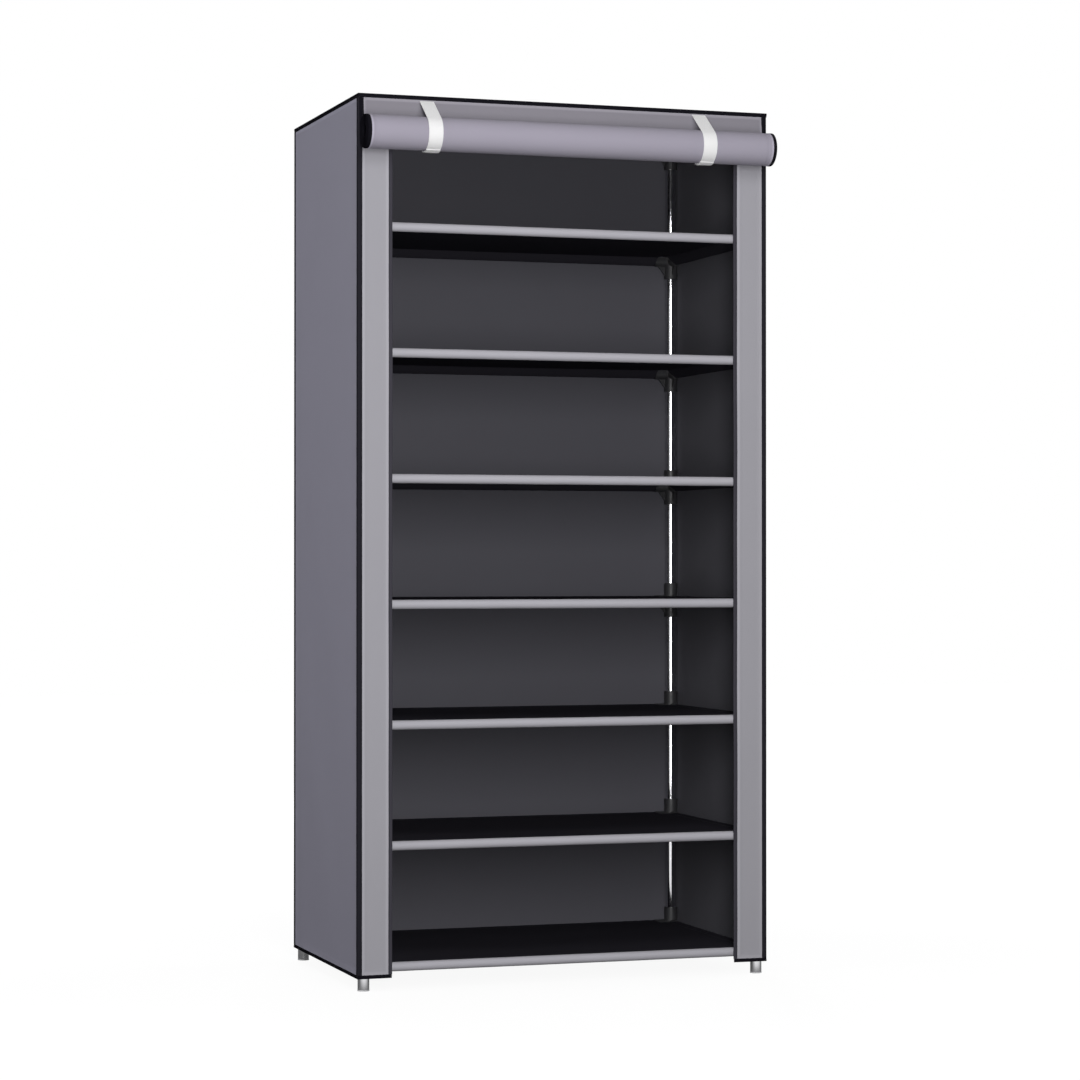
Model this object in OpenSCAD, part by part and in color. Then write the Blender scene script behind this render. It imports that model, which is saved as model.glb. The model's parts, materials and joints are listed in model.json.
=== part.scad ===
// Fabric storage rack: a push-fit steel tube frame with cloth shelves, dressed in a cloth cover
// whose front curtain is rolled up under the top seam and held by two straps.
// The origin is on the floor, in the middle of the rack's outer box. +Y points to the back.

/* [Frame] */
// Distance between the upright tubes' axes, across the rack
post_span_x = 578; // [440:1:800]
// Distance between the upright tubes' axes, front to back
post_span_y = 338; // [260:1:420]
// Outer diameter of the upright tubes
post_d = 16; // [13:0.5:20]
// How much thinner the horizontal tubes are than the upright ones
rail_step = 5; // [1:0.5:6]
// Wall of the steel tubes
tube_wall = 0.5; // [0.3:0.1:1.5]

/* [Tiers] */
// Number of shelves
shelf_count = 7; // [3:1:7]
// Number of tiers, from the bottom, that have the lower spacing
lower_tiers = 3; // [0:1:6]
// Height of the bottom shelf's tubes above the floor
bottom_level_z = 31; // [31:1:60]
// Shelf spacing in the lower tiers
lower_pitch = 165.2; // [120:0.1:220]
// Shelf spacing in the upper tiers
upper_pitch = 172.6; // [120:0.1:220]
// Height of the roof frame above the top shelf
roof_pitch = 167.6; // [130:0.1:240]

/* [Connectors] */
// Wall round an upright tube
socket_wall = 1.85; // [1.2:0.05:3]
// Wall round a horizontal tube
arm_wall = 1.6; // [1:0.1:1.8]
// Radial clearance of a tube in its socket
tube_fit = 0.15; // [0.05:0.05:0.3]
// Reach of the upright sockets from the middle of a connector
socket_reach = 26; // [18:1:40]
// Reach of the leg sockets under the bottom shelf
leg_socket_reach = 12; // [10:1:14]
// Reach of the side arms from the middle of a connector
arm_reach = 26; // [20:1:40]
// Thickness of the web that stops the upright tubes
stop_web = 8; // [4:1:10]
// Side of the web plate in the corner under each arm
gusset_side = 13; // [8:1:16]
// Thickness of that web plate
gusset_t = 3; // [2:0.5:5]

/* [Feet] */
// Thickness of the foot plug's flange, on which the rack stands
plug_flange_t = 1.5; // [1:0.5:4]
// How far the flange stands proud of the leg tube
plug_rim = 0.25; // [0:0.05:1]
// Length of the plug inside the leg tube
plug_insert = 10; // [5:1:14]

/* [Shelves] */
// Thickness of every cloth piece
cloth_t = 0.8; // [0.5:0.1:1.2]
// Radial slack of a cloth sleeve round its tube
sleeve_slack = 0.2; // [0.1:0.05:0.4]
// Gap between a sleeve's end and the connector's arm
sleeve_end_gap = 1; // [0.5:0.5:6]

/* [Cover] */
// Slack between the cover and the connectors
cover_slack = 0.2; // [0.1:0.1:1]
// Height of the cover's bottom edge above the floor
cover_bottom_z = 18; // [8:1:18]
// Width of each front flap, its binding included
flap_w = 49; // [40:1:90]
// Width of the black binding tape on the cover's seams
binding_w = 6; // [4:0.5:10]
// Width of the binding on a flap's free edge
flap_binding_w = 5.5; // [4:0.5:8]
// Thickness of the binding tape with the seam in it
binding_t = 0.8; // [0.5:0.1:1.5]

/* [Curtain] */
// How far each side edge of the curtain stays in from the cover's side
curtain_inset = 2; // [0:0.5:20]
// Width of the black binding on the curtain's edges
curtain_binding_w = 5; // [3:0.5:10]
// Diameter of the rolled curtain
roll_d = 48; // [46:1:70]
// Diameter of the open middle of the roll
roll_core_d = 16; // [8:1:16]
// Height of the cover's top above the roll's axis
roll_axis_drop = 54; // [44:1:90]
// Clearance between the roll and the bindings behind it
roll_run_gap = 0.4; // [0.3:0.1:3]

/* [Straps] */
// Width of each strap
strap_w = 20; // [15:1:40]
// Thickness of each strap
strap_t = 0.8; // [0.5:0.1:1.5]
// Distance between the two straps' middles
strap_span = 400; // [250:1:430]
// Place of the middle between the straps, to the right of the curtain's middle
strap_shift = -3.5; // [-15:0.5:15]
// Slack between a strap and the curtain
strap_slack = 0.3; // [0.2:0.05:1]
// Angle round the roll that each strap's fastening pad covers
strap_pad_angle = 50; // [30:1:80]

/* [Hidden] */
$fn = 64;
level_count = shelf_count + 1;

steel = [0.80, 0.81, 0.83];
charcoal = [0.13, 0.13, 0.14];
plug_white = [0.85, 0.85, 0.86];
grey_cloth = [0.60, 0.59, 0.62];
side_cloth = [0.46, 0.45, 0.49];
black_cloth = [0.06, 0.06, 0.07];
black_tape = [0.03, 0.03, 0.04];
white_tape = [0.95, 0.95, 0.96];

// A cut runs past the face it opens by this much
cut = 1;

// Horizontal tubes, and the connector and sleeve radii from the tubes that they hold
rail_d = post_d - rail_step;
socket_r = post_d / 2 + tube_fit + socket_wall;
arm_r = rail_d / 2 + tube_fit + arm_wall;
// A rail ends clear of the post's socket, a little short of the solid web at the end of its own
arm_stop_gap = 1;
arm_stop = socket_r + arm_stop_gap;
rail_end_gap = 0.5;
sleeve_r = rail_d / 2 + sleeve_slack + cloth_t;
// A shelf's deck lies this far below the top of its sleeves
deck_drop = 0.3;

// Outer box of the cover
cover_w = post_span_x + 2 * (socket_r + cover_slack + cloth_t);
cover_d = post_span_y + 2 * (socket_r + cover_slack + cloth_t);
cover_top_z = level_z(level_count) + socket_r + cover_slack + cloth_t;

// The curtain is nearly as wide as the cover, hangs clear of the bindings behind it,
// and the straps lie over its roll
curtain_w = cover_w - 2 * curtain_inset;
curtain_gap = binding_t + roll_run_gap;
front_reach = curtain_gap + roll_d + strap_slack + strap_t;
cover_front_y = (front_reach - binding_t - cover_d) / 2;
cover_back_y = cover_front_y + cover_d;
post_front_y = cover_front_y + cloth_t + cover_slack + socket_r;
post_back_y = post_front_y + post_span_y;
curtain_back_y = cover_front_y - curtain_gap;
curtain_front_y = curtain_back_y - cloth_t;

// The roll: a spiral of cloth whose outer turn runs on from the hanging part above it
roll_r = roll_d / 2;
roll_y = curtain_back_y - roll_r;
roll_z = cover_top_z - roll_axis_drop;
turn_steps = 20;
outer_line_r = roll_r - cloth_t / 2;
inner_line_r = roll_core_d / 2;
hem_w = binding_w;
curtain_length = cover_top_z - cover_bottom_z;
rolled_length = curtain_length - roll_axis_drop - hem_w;
roll_turns = rolled_length / (PI * (outer_line_r + inner_line_r));
rolled_angle = 360 * roll_turns;
roll_pitch = (outer_line_r - inner_line_r) / roll_turns;
hem_angle = hem_w / (2 * PI * inner_line_r) * 360;
// The hem starts this many degrees after the cloth's end
hem_gap_angle = 1;

// Straps: each front half runs straight from the seam to the roll and then round it
strap_line_r = roll_r + strap_slack + strap_t / 2;
strap_start_y = curtain_front_y - strap_slack - strap_t / 2;
strap_start_z = cover_top_z - binding_w - strap_slack - strap_t / 2;
strap_start_dy = strap_start_y - roll_y;
strap_start_dz = strap_start_z - roll_z;
strap_start_distance = norm([strap_start_dy, strap_start_dz]);
strap_meet_angle = acos(strap_line_r / strap_start_distance) + atan2(strap_start_dz, strap_start_dy);
under_roll = 270;
strap_end_gap_angle = 2;
arc_step = 5;

// Height of a level's tube axes above the floor; the last level is the roof frame
function level_z(level) =
    let (step = min(level, shelf_count) - 1)
    bottom_level_z
    + lower_pitch * min(step, lower_tiers)
    + upper_pitch * max(0, step - lower_tiers)
    + (level > shelf_count ? roof_pitch : 0);

// A point in the Y-Z plane, from the roll's axis
function round_roll(angle, radius) = [roll_y + radius * cos(angle), roll_z + radius * sin(angle)];

// Outline of a strip that follows an arc round the roll
function arc_strip(from, to, line_r, thickness) =
    let (steps = max(2, ceil(abs(to - from) / arc_step)))
    concat(
        [for (i = [0 : steps]) round_roll(from + (to - from) * i / steps, line_r + thickness / 2)],
        [for (i = [steps : -1 : 0]) round_roll(from + (to - from) * i / steps, line_r - thickness / 2)]);

// Radius of the spiral's middle line after a turn of so many degrees from the back of the roll
function spiral_r(turned) = outer_line_r - roll_pitch * turned / 360;
function spiral_side(turned, side) = round_roll(-turned, spiral_r(turned) + side * cloth_t / 2);

// Outline of the spiral's cloth between two amounts of turn
function spiral_strip(from, to) =
    let (steps = max(2, ceil((to - from) * turn_steps / 360)))
    concat(
        [for (i = [0 : steps]) spiral_side(from + (to - from) * i / steps, 1)],
        [for (i = [steps : -1 : 0]) spiral_side(from + (to - from) * i / steps, -1)]);

// Least gap between neighbouring turns, measured on the outline's own points
rolled_steps = ceil(roll_turns * turn_steps);
rolled_step_angle = rolled_angle / rolled_steps;
inner_points = [for (i = [0 : rolled_steps]) spiral_side(i * rolled_step_angle, -1)];
outer_points = [for (i = [0 : rolled_steps]) spiral_side(i * rolled_step_angle, 1)];
turn_gap = min([for (i = [0 : rolled_steps - turn_steps - 1], j = [turn_steps - 1 : turn_steps + 1])
    norm(inner_points[i] - outer_points[i + j])]);
echo(least_gap_between_the_turns = turn_gap, turns = roll_turns, cloth_on_the_roll = rolled_length);

// A box between two corners
module box(low, high) {
    translate(low) cube(high - low);
}

// A profile drawn in Y and Z, drawn out along X to both sides of the middle
module along_x(length) {
    rotate([90, 0, 90]) linear_extrude(length, center = true) children();
}

module tube(outer_d, length) {
    difference() {
        cylinder(d = outer_d, h = length);
        translate([0, 0, -cut]) cylinder(d = outer_d - 2 * tube_wall, h = length + 2 * cut);
    }
}

// Repeats a front left corner's piece at the four corners, its arms facing inwards
module each_corner() {
    for (side = [0, 1], back = [0, 1])
        translate([(side - 0.5) * post_span_x, back == 1 ? post_back_y : post_front_y, 0])
        mirror([side, 0, 0])
        mirror([0, back, 0])
        children();
}

// Mirrors a piece on the left to the right as well
module both_sides() {
    for (side = [0, 1]) mirror([side, 0, 0]) children();
}

// One web plate in the corner between an arm and the socket below it
module gusset() {
    rotate([90, 0, 0])
    linear_extrude(gusset_t, center = true)
    polygon([[0, 0], [socket_r + gusset_side, 0], [socket_r + gusset_side, -arm_r / 2],
             [socket_r, -arm_r - gusset_side], [0, -arm_r - gusset_side]]);
}

// A corner connector of the front left corner: upright sockets, an arm to the right, one to the back
module connector(up, down, closed_top, has_gussets) {
    difference() {
        union() {
            translate([0, 0, -down]) cylinder(r = socket_r, h = down + up);
            rotate([0, 90, 0]) cylinder(r = arm_r, h = arm_reach);
            rotate([-90, 0, 0]) cylinder(r = arm_r, h = arm_reach);
            if (has_gussets) {
                gusset();
                rotate([0, 0, 90]) gusset();
            }
        }
        translate([0, 0, -down - cut]) cylinder(d = post_d + 2 * tube_fit, h = down - stop_web / 2 + cut);
        if (!closed_top)
            translate([0, 0, stop_web / 2]) cylinder(d = post_d + 2 * tube_fit, h = up + cut);
        translate([arm_stop, 0, 0]) rotate([0, 90, 0]) cylinder(d = rail_d + 2 * tube_fit, h = arm_reach);
        translate([0, arm_stop, 0]) rotate([-90, 0, 0]) cylinder(d = rail_d + 2 * tube_fit, h = arm_reach);
    }
}

module level_connectors(level) {
    is_bottom = level == 1;
    is_roof = level == level_count;
    color(charcoal)
    translate([0, 0, level_z(level)])
    each_corner()
    connector(up = is_roof ? socket_r : socket_reach,
              down = is_bottom ? leg_socket_reach : socket_reach,
              closed_top = is_roof,
              has_gussets = !is_bottom);
}

// The front and the rear horizontal tube of a level
module level_long_rails(level) {
    length = post_span_x - 2 * (arm_stop + rail_end_gap);
    color(steel)
    for (y = [post_front_y, post_back_y])
        translate([-length / 2, y, level_z(level)]) rotate([0, 90, 0]) tube(rail_d, length);
}

// The short tubes of the left side, one a level
module left_side_rails() {
    length = post_span_y - 2 * (arm_stop + rail_end_gap);
    color(steel)
    for (level = [1 : level_count])
        translate([-post_span_x / 2, post_front_y + arm_stop + rail_end_gap, level_z(level)])
        rotate([-90, 0, 0])
        tube(rail_d, length);
}

module right_side_rails() {
    mirror([1, 0, 0]) left_side_rails();
}

// The four upright tubes between a level and the next
module tier_posts(tier) {
    color(steel)
    each_corner()
    translate([0, 0, level_z(tier) + stop_web / 2])
    tube(post_d, level_z(tier + 1) - level_z(tier) - stop_web);
}

module legs() {
    color(steel)
    each_corner()
    translate([0, 0, plug_flange_t])
    tube(post_d, bottom_level_z - stop_web / 2 - plug_flange_t);
}

module foot_plugs() {
    color(plug_white)
    each_corner() {
        cylinder(d = post_d + 2 * plug_rim, h = plug_flange_t);
        cylinder(d = post_d - 2 * tube_wall - 2 * tube_fit, h = plug_flange_t + plug_insert);
    }
}

// A cloth sleeve round a horizontal tube, along X
module sleeve(length) {
    rotate([0, 90, 0])
    difference() {
        cylinder(r = sleeve_r, h = length, center = true);
        cylinder(r = sleeve_r - cloth_t, h = length + 2 * cut, center = true);
    }
}

// The black shelf cloth: a deck sewn to a sleeve on the rear tube and on each side tube
module shelf_sheet(level) {
    deck_top = sleeve_r - deck_drop;
    deck_bottom = deck_top - cloth_t;
    // The deck starts on the front sleeve and ends inside the wall of each other sleeve
    front_seam = sqrt(pow(sleeve_r, 2) - pow(deck_bottom, 2));
    seam = sleeve_r / 3;
    half_x = post_span_x / 2 - arm_reach - sleeve_end_gap;
    side_length = post_span_y - 2 * (arm_reach + sleeve_end_gap);
    mid_y = (post_front_y + post_back_y) / 2;
    color(black_cloth)
    translate([0, 0, level_z(level)]) {
        box([-half_x, post_front_y + front_seam, deck_bottom], [half_x, post_back_y - seam, deck_top]);
        box([-post_span_x / 2 + seam, mid_y - side_length / 2, deck_bottom],
            [post_span_x / 2 - seam, mid_y + side_length / 2, deck_top]);
        translate([0, post_back_y, 0]) sleeve(2 * half_x);
        both_sides() translate([-post_span_x / 2, mid_y, 0]) rotate([0, 0, 90]) sleeve(side_length);
    }
}

// The grey sleeve that shows along the shelf's front
module shelf_front_sleeve(level) {
    length = post_span_x - 2 * (arm_reach + sleeve_end_gap);
    color(grey_cloth)
    translate([0, post_front_y, level_z(level)])
    sleeve(length);
}

module left_panel() {
    color(side_cloth)
    box([-cover_w / 2, cover_front_y, cover_bottom_z],
        [-cover_w / 2 + cloth_t, cover_back_y, cover_top_z - cloth_t]);
}

module right_panel() {
    mirror([1, 0, 0]) left_panel();
}

module back_panel() {
    color(side_cloth)
    box([-cover_w / 2 + cloth_t, cover_back_y - cloth_t, cover_bottom_z],
        [cover_w / 2 - cloth_t, cover_back_y, cover_top_z - cloth_t]);
}

module roof_panel() {
    color(side_cloth)
    box([-cover_w / 2, cover_front_y, cover_top_z - cloth_t], [cover_w / 2, cover_back_y, cover_top_z]);
}

// The fixed strip of cloth down the left of the front
module left_flap() {
    color(grey_cloth)
    box([-cover_w / 2 + cloth_t, cover_front_y, cover_bottom_z],
        [-cover_w / 2 + flap_w - binding_t, cover_front_y + cloth_t, cover_top_z - cloth_t]);
}

module right_flap() {
    mirror([1, 0, 0]) left_flap();
}

// Tape folded over the four edges of the roof; in front it also holds the curtain's top edge
module roof_binding() {
    color(black_tape)
    difference() {
        box([-cover_w / 2 - binding_t, curtain_front_y - binding_t, cover_top_z - binding_w],
            [cover_w / 2 + binding_t, cover_back_y + binding_t, cover_top_z + binding_t]);
        box([-cover_w / 2, curtain_front_y, cover_top_z - binding_w - cut],
            [cover_w / 2, cover_back_y, cover_top_z]);
        box([-cover_w / 2 + binding_w, cover_front_y + binding_w, cover_top_z - cut],
            [cover_w / 2 - binding_w, cover_back_y - binding_w, cover_top_z + binding_t + cut]);
    }
}

// Tape folded over the four upright seams
module corner_bindings() {
    low = cover_bottom_z + binding_w;
    high = cover_top_z - binding_w;
    color(black_tape)
    both_sides()
    difference() {
        union() {
            box([-cover_w / 2 - binding_t, cover_front_y - binding_t, low],
                [-cover_w / 2 + binding_w, cover_front_y + binding_w, high]);
            box([-cover_w / 2 - binding_t, cover_back_y - binding_w, low],
                [-cover_w / 2 + binding_w, cover_back_y + binding_t, high]);
        }
        box([-cover_w / 2, cover_front_y, low - cut], [0, cover_back_y, high + cut]);
    }
}

// Tape along the bottom edge, from one flap round the back to the other flap
module bottom_binding() {
    color(black_tape)
    difference() {
        box([-cover_w / 2 - binding_t, cover_front_y - binding_t, cover_bottom_z - binding_t],
            [cover_w / 2 + binding_t, cover_back_y + binding_t, cover_bottom_z + binding_w]);
        box([-cover_w / 2, cover_front_y, cover_bottom_z],
            [cover_w / 2, cover_back_y, cover_bottom_z + binding_w + cut]);
        box([-cover_w / 2 + cloth_t, cover_front_y + cloth_t, cover_bottom_z - binding_t - cut],
            [cover_w / 2 - cloth_t, cover_back_y - cloth_t, cover_bottom_z + cut]);
        box([-cover_w / 2 + flap_w, cover_front_y - binding_t - cut, cover_bottom_z - binding_t - cut],
            [cover_w / 2 - flap_w, cover_front_y + cloth_t + cut, cover_bottom_z + binding_w + cut]);
    }
}

// Tape folded round the free edge of each flap
module flap_bindings() {
    edge_x = -cover_w / 2 + flap_w;
    low = cover_bottom_z + binding_w;
    high = cover_top_z - cloth_t;
    color(black_tape)
    both_sides()
    difference() {
        box([edge_x - flap_binding_w, cover_front_y - binding_t, low],
            [edge_x, cover_front_y + cloth_t + binding_t, high]);
        box([edge_x - flap_binding_w - cut, cover_front_y, low - cut],
            [edge_x - binding_t, cover_front_y + cloth_t, high + cut]);
    }
}

// The part of the curtain that hangs from the top seam to the roll
module curtain_top() {
    half_w = curtain_w / 2 - curtain_binding_w;
    color(grey_cloth)
    box([-half_w, curtain_front_y, roll_z + strap_slack], [half_w, curtain_back_y, cover_top_z]);
}

module curtain_top_bindings() {
    // Clear of the round binding on the roll below it
    low = roll_z + sqrt(pow(roll_r, 2) - pow(roll_r - cloth_t, 2)) + strap_slack;
    color(black_tape)
    both_sides()
    box([-curtain_w / 2, curtain_front_y, low],
        [-curtain_w / 2 + curtain_binding_w, curtain_back_y, cover_top_z]);
}

module curtain_roll() {
    color(grey_cloth)
    along_x(curtain_w - 2 * curtain_binding_w) polygon(spiral_strip(0, rolled_angle));
}

// The bound lower edge of the curtain, in the middle of the roll
module curtain_hem() {
    start = rolled_angle + hem_gap_angle;
    color(black_tape)
    along_x(curtain_w - 2 * curtain_binding_w) polygon(spiral_strip(start, start + hem_angle));
}

// The bound side edges of the curtain: wound up, the tape's turns lie tight on each other
module curtain_roll_bindings() {
    color(black_tape)
    both_sides()
    translate([-curtain_w / 2, roll_y, roll_z])
    rotate([0, 90, 0])
    difference() {
        cylinder(r = roll_r, h = curtain_binding_w);
        translate([0, 0, -cut])
        cylinder(r = inner_line_r - roll_pitch, h = curtain_binding_w + 2 * cut);
    }
}

module both_straps() {
    translate([strap_shift, 0, 0])
    both_sides()
    translate([-strap_span / 2, 0, 0])
    along_x(strap_w) children();
}

// Front halves: from under the seam's tape, over the front of the roll, to its underside
module strap_fronts() {
    arc = arc_strip(strap_meet_angle, under_roll - strap_end_gap_angle / 2, strap_line_r, strap_t);
    side = strap_t / 2 * [cos(strap_meet_angle), sin(strap_meet_angle)];
    start = [strap_start_y, strap_start_z];
    color(white_tape)
    both_straps() polygon(concat([start - side, start + side], arc));
}

// Back halves: down behind the curtain and round under the roll
module strap_backs() {
    arc = arc_strip(360, under_roll + strap_end_gap_angle / 2, strap_line_r, strap_t);
    line_y = roll_y + strap_line_r;
    color(white_tape)
    both_straps()
    polygon(concat([[line_y - strap_t / 2, cover_top_z], [line_y + strap_t / 2, cover_top_z]], arc));
}

// Fastening pads that join the halves under the roll
module strap_pads() {
    pad_line_r = strap_line_r + strap_t + strap_slack / 2;
    color(white_tape)
    both_straps()
    polygon(arc_strip(under_roll - strap_pad_angle / 2, under_roll + strap_pad_angle / 2,
                      pad_line_r, strap_t));
}

for (level = [1 : level_count]) {
    level_connectors(level);
    level_long_rails(level);
}
for (shelf = [1 : shelf_count]) {
    tier_posts(shelf);
    shelf_sheet(shelf);
    shelf_front_sleeve(shelf);
}
left_side_rails();
right_side_rails();
legs();
foot_plugs();
left_panel();
right_panel();
back_panel();
roof_panel();
left_flap();
right_flap();
roof_binding();
corner_bindings();
bottom_binding();
flap_bindings();
curtain_top();
curtain_top_bindings();
curtain_roll();
curtain_roll_bindings();
curtain_hem();
strap_fronts();
strap_backs();
strap_pads();
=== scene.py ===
"""Looks of a fabric storage rack: cloth cover, shelves, rolled curtain and straps round a tube frame."""

import json
import math
import random

import bmesh
import bpy
import numpy as np
from bpy.props import FloatProperty, FloatVectorProperty, PointerProperty
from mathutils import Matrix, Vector


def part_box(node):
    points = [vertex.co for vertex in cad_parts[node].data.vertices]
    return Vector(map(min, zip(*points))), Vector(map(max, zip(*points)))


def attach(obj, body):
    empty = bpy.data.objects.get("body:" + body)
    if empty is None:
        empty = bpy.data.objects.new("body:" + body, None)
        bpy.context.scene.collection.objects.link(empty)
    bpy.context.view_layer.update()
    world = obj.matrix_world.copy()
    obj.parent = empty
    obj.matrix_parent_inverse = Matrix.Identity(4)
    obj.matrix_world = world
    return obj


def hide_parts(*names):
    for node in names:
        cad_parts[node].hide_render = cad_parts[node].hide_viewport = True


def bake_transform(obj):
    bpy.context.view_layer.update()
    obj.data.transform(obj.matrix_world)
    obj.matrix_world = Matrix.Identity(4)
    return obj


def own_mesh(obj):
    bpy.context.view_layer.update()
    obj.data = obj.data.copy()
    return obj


bl_info = {
    "name": "Fabric Storage Rack",
    "version": (1, 0, 0),
    "blender": (4, 5, 0),
    "location": "3D View > Sidebar > Rack",
    "description": "Dresses a tube rack in its cloth cover, shelves, rolled curtain and straps",
    "category": "Add Mesh",
}

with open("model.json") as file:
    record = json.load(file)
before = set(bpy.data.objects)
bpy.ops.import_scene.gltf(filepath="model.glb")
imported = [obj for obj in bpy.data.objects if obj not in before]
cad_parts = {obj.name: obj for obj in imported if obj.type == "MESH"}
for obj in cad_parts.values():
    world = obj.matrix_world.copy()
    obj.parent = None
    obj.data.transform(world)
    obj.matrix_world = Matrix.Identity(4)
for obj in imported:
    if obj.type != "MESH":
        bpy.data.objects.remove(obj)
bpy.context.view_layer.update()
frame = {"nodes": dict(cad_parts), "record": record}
MM = 0.001
X, Y, Z = np.eye(3)
SIDES = (-1, 1)
WHITE = (1.0, 1.0, 1.0, 1.0)


def low(node, axis):
    """Lowest place of a CAD node along x, y or z."""
    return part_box(node)[0]["xyz".index(axis)]


def high(node, axis):
    """Highest place of a CAD node along x, y or z."""
    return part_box(node)[1]["xyz".index(axis)]


def middle(node, axis):
    return (low(node, axis) + high(node, axis)) / 2


def edges_x(node, side):
    """Least and greatest x of the part of a CAD node that lies on one side of the rack."""
    places = [vertex.co.x for vertex in frame["nodes"][node].data.vertices if vertex.co.x * side > 0]
    return min(places), max(places)


# The cover's outer faces
COVER_HALF = high("right_panel", "x")
COVER_FRONT = low("left_flap", "y")
COVER_BACK = high("back_panel", "y")
COVER_TOP = high("roof_panel", "z")
COVER_BOTTOM = low("left_panel", "z")
CLOTH = COVER_TOP - high("left_panel", "z")
FLAP_EDGE = low("right_flap", "x")

# The binding tapes; a tape's leg is shorter where another tape ends on it, and pressed flat where it is
# folded in behind the cloth
TAPE = high("roof_binding", "z") - COVER_TOP
TAPE_W = COVER_TOP - low("roof_binding", "z")
FLAP_TAPE_W = high("flap_bindings", "x") - edges_x("flap_bindings", 1)[0] - TAPE
ROOF_LEG = 0.82 * TAPE_W
ROOF_TOP_LEG = TAPE_W + 1.5 * MM
BOTTOM_LEG = 0.72 * TAPE_W
BOTTOM_INNER_LEG = BOTTOM_LEG - 1 * MM
FOLDED_IN = 0.12 * MM

# The curtain and its roll
CURTAIN_FRONT = low("curtain_top", "y")
CURTAIN_BACK = high("curtain_top", "y")
CURTAIN_HALF = high("curtain_roll_bindings", "x")
CLOTH_HALF = high("curtain_roll", "x")
ROLL_Y = middle("curtain_roll_bindings", "y")
ROLL_Z = middle("curtain_roll_bindings", "z")
ROLL_R = CURTAIN_BACK - ROLL_Y

# The tube frame and the shelf cloths' sleeves on it
SHELVES = sum(name.endswith("_sheet") for name in frame["nodes"])
LEVELS = [middle(f"level_{i}_long_rails", "z") for i in range(1, SHELVES + 2)]
RAIL_R = high("level_1_long_rails", "z") - LEVELS[0]
RAIL_FRONT = low("level_1_long_rails", "y") + RAIL_R
RAIL_BACK = high("level_1_long_rails", "y") - RAIL_R
RAIL_SIDE = middle("right_side_rails", "x")
SLEEVE_R = high("shelf_1_front_sleeve", "z") - LEVELS[0]
SLEEVE_HALF = high("shelf_1_front_sleeve", "x")
SLEEVE_IN = RAIL_SIDE - SLEEVE_HALF

# The straps
STRAP_EDGES = {side: edges_x("strap_fronts", side) for side in SIDES}
STRAP_W = STRAP_EDGES[1][1] - STRAP_EDGES[1][0]
STRAP_X = {side: sum(edges) / 2 for side, edges in STRAP_EDGES.items()}
STRAP_TOP = high("strap_fronts", "z")
STRAP_R = ROLL_Z - low("strap_fronts", "z")
STRAP_FRONT = CURTAIN_FRONT - (STRAP_R - ROLL_R)
PAD_R = ROLL_Z - low("strap_pads", "z")


def colour(name, default, description):
    return FloatVectorProperty(name=name, description=description, subtype="COLOR", size=3,
                               min=0.0, max=1.0, default=default)


def length(name, default, description):
    return FloatProperty(name=name, description=description, unit="LENGTH", subtype="DISTANCE",
                         min=0.0, precision=5, default=default)


def share(name, default, description):
    return FloatProperty(name=name, description=description, subtype="FACTOR", min=0.0, max=4.0,
                         default=default)


class RackFinishSettings(bpy.types.PropertyGroup):
    """Colours of the rack's materials, and the grain of its cloth"""

    flap: colour("Flap Cloth", (0.410, 0.402, 0.440), "Grey of the two front flaps")
    curtain: colour("Curtain Lining", (0.405, 0.380, 0.455), "Grey of the inner face, seen on the roll")
    # The curtain's outer face is painted darker than the same cloth on the flaps: painted shade for the
    # crease above the roll
    face: colour("Curtain Face", (0.275, 0.262, 0.297), "Grey of the curtain's outer face")
    # The sleeves are the front cloth painted lighter: a painted highlight on their round fronts
    sleeve: colour("Sleeve Cloth", (0.500, 0.490, 0.535), "Grey of the sleeves along the shelves' fronts")
    side: colour("Panel Cloth", (0.385, 0.375, 0.465), "Grey of the side, back and roof panels")
    lining: colour("Lining", (0.132, 0.130, 0.150), "Charcoal inner face of the cover")
    shelf: colour("Shelf Cloth", (0.036, 0.034, 0.043), "Black of the shelf cloths")
    tape: colour("Binding Tape", (0.009, 0.0085, 0.012), "Black of the roof's, bottom's and curtain's tapes")
    # The corner and flap tapes are the one black tape painted lighter: painted light on the upright edges,
    # most on the flaps' free edges
    corner_tape: colour("Corner Tape", (0.021, 0.0200, 0.026), "Black of the tapes on the upright edges")
    flap_tape: colour("Flap Tape", (0.058, 0.055, 0.068), "Charcoal of the tape on the flaps' free edges")
    webbing: colour("Webbing", (0.985, 0.975, 0.99), "White of the two straps")
    steel: colour("Steel", (0.72, 0.72, 0.74), "Bright plated steel tube")
    plastic: colour("Connector Plastic", (0.034, 0.034, 0.037), "Charcoal of the corner connectors")
    plug: colour("Foot Plug Plastic", (0.62, 0.62, 0.64), "Pale grey of the foot plugs")
    dot_pitch: length("Dot Pitch", 1.3 * MM, "Distance between the cloth's pressed dots")
    dot_depth: length("Dot Depth", 0.08 * MM, "Depth of the cloth's pressed dots")


class RackClothSettings(bpy.types.PropertyGroup):
    """How far the cloth hangs, sags and gives"""

    slack: length("Panel Slack", 0.9 * MM, "How far the panels wander in and out between the posts")
    drawn_in: length("Drawn In", 1.2 * MM, "How far the middle of a panel is drawn in between the posts")
    pillow: length("Seam Pillow", 0.3 * MM, "Height of the cloth's swelling beside a binding")
    roof_sag: length("Roof Sag", 3.0 * MM, "Sag of the roof's middle")
    flap_wave: length("Flap Wave", 1.6 * MM, "How far the flaps' free edges wander inwards")
    shelf_sag: length("Shelf Sag", 4.0 * MM, "Sag of a shelf cloth's middle")
    curtain_slack: length("Curtain Slack", 2.0 * MM, "How far the cloth above the roll bulges forward")
    roll_dent: length("Roll Dent", 0.45 * MM, "Depth of the shallow dents along the roll")
    strap_bite: length("Strap Bite", 0.5 * MM, "How far the straps press into the roll")


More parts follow.
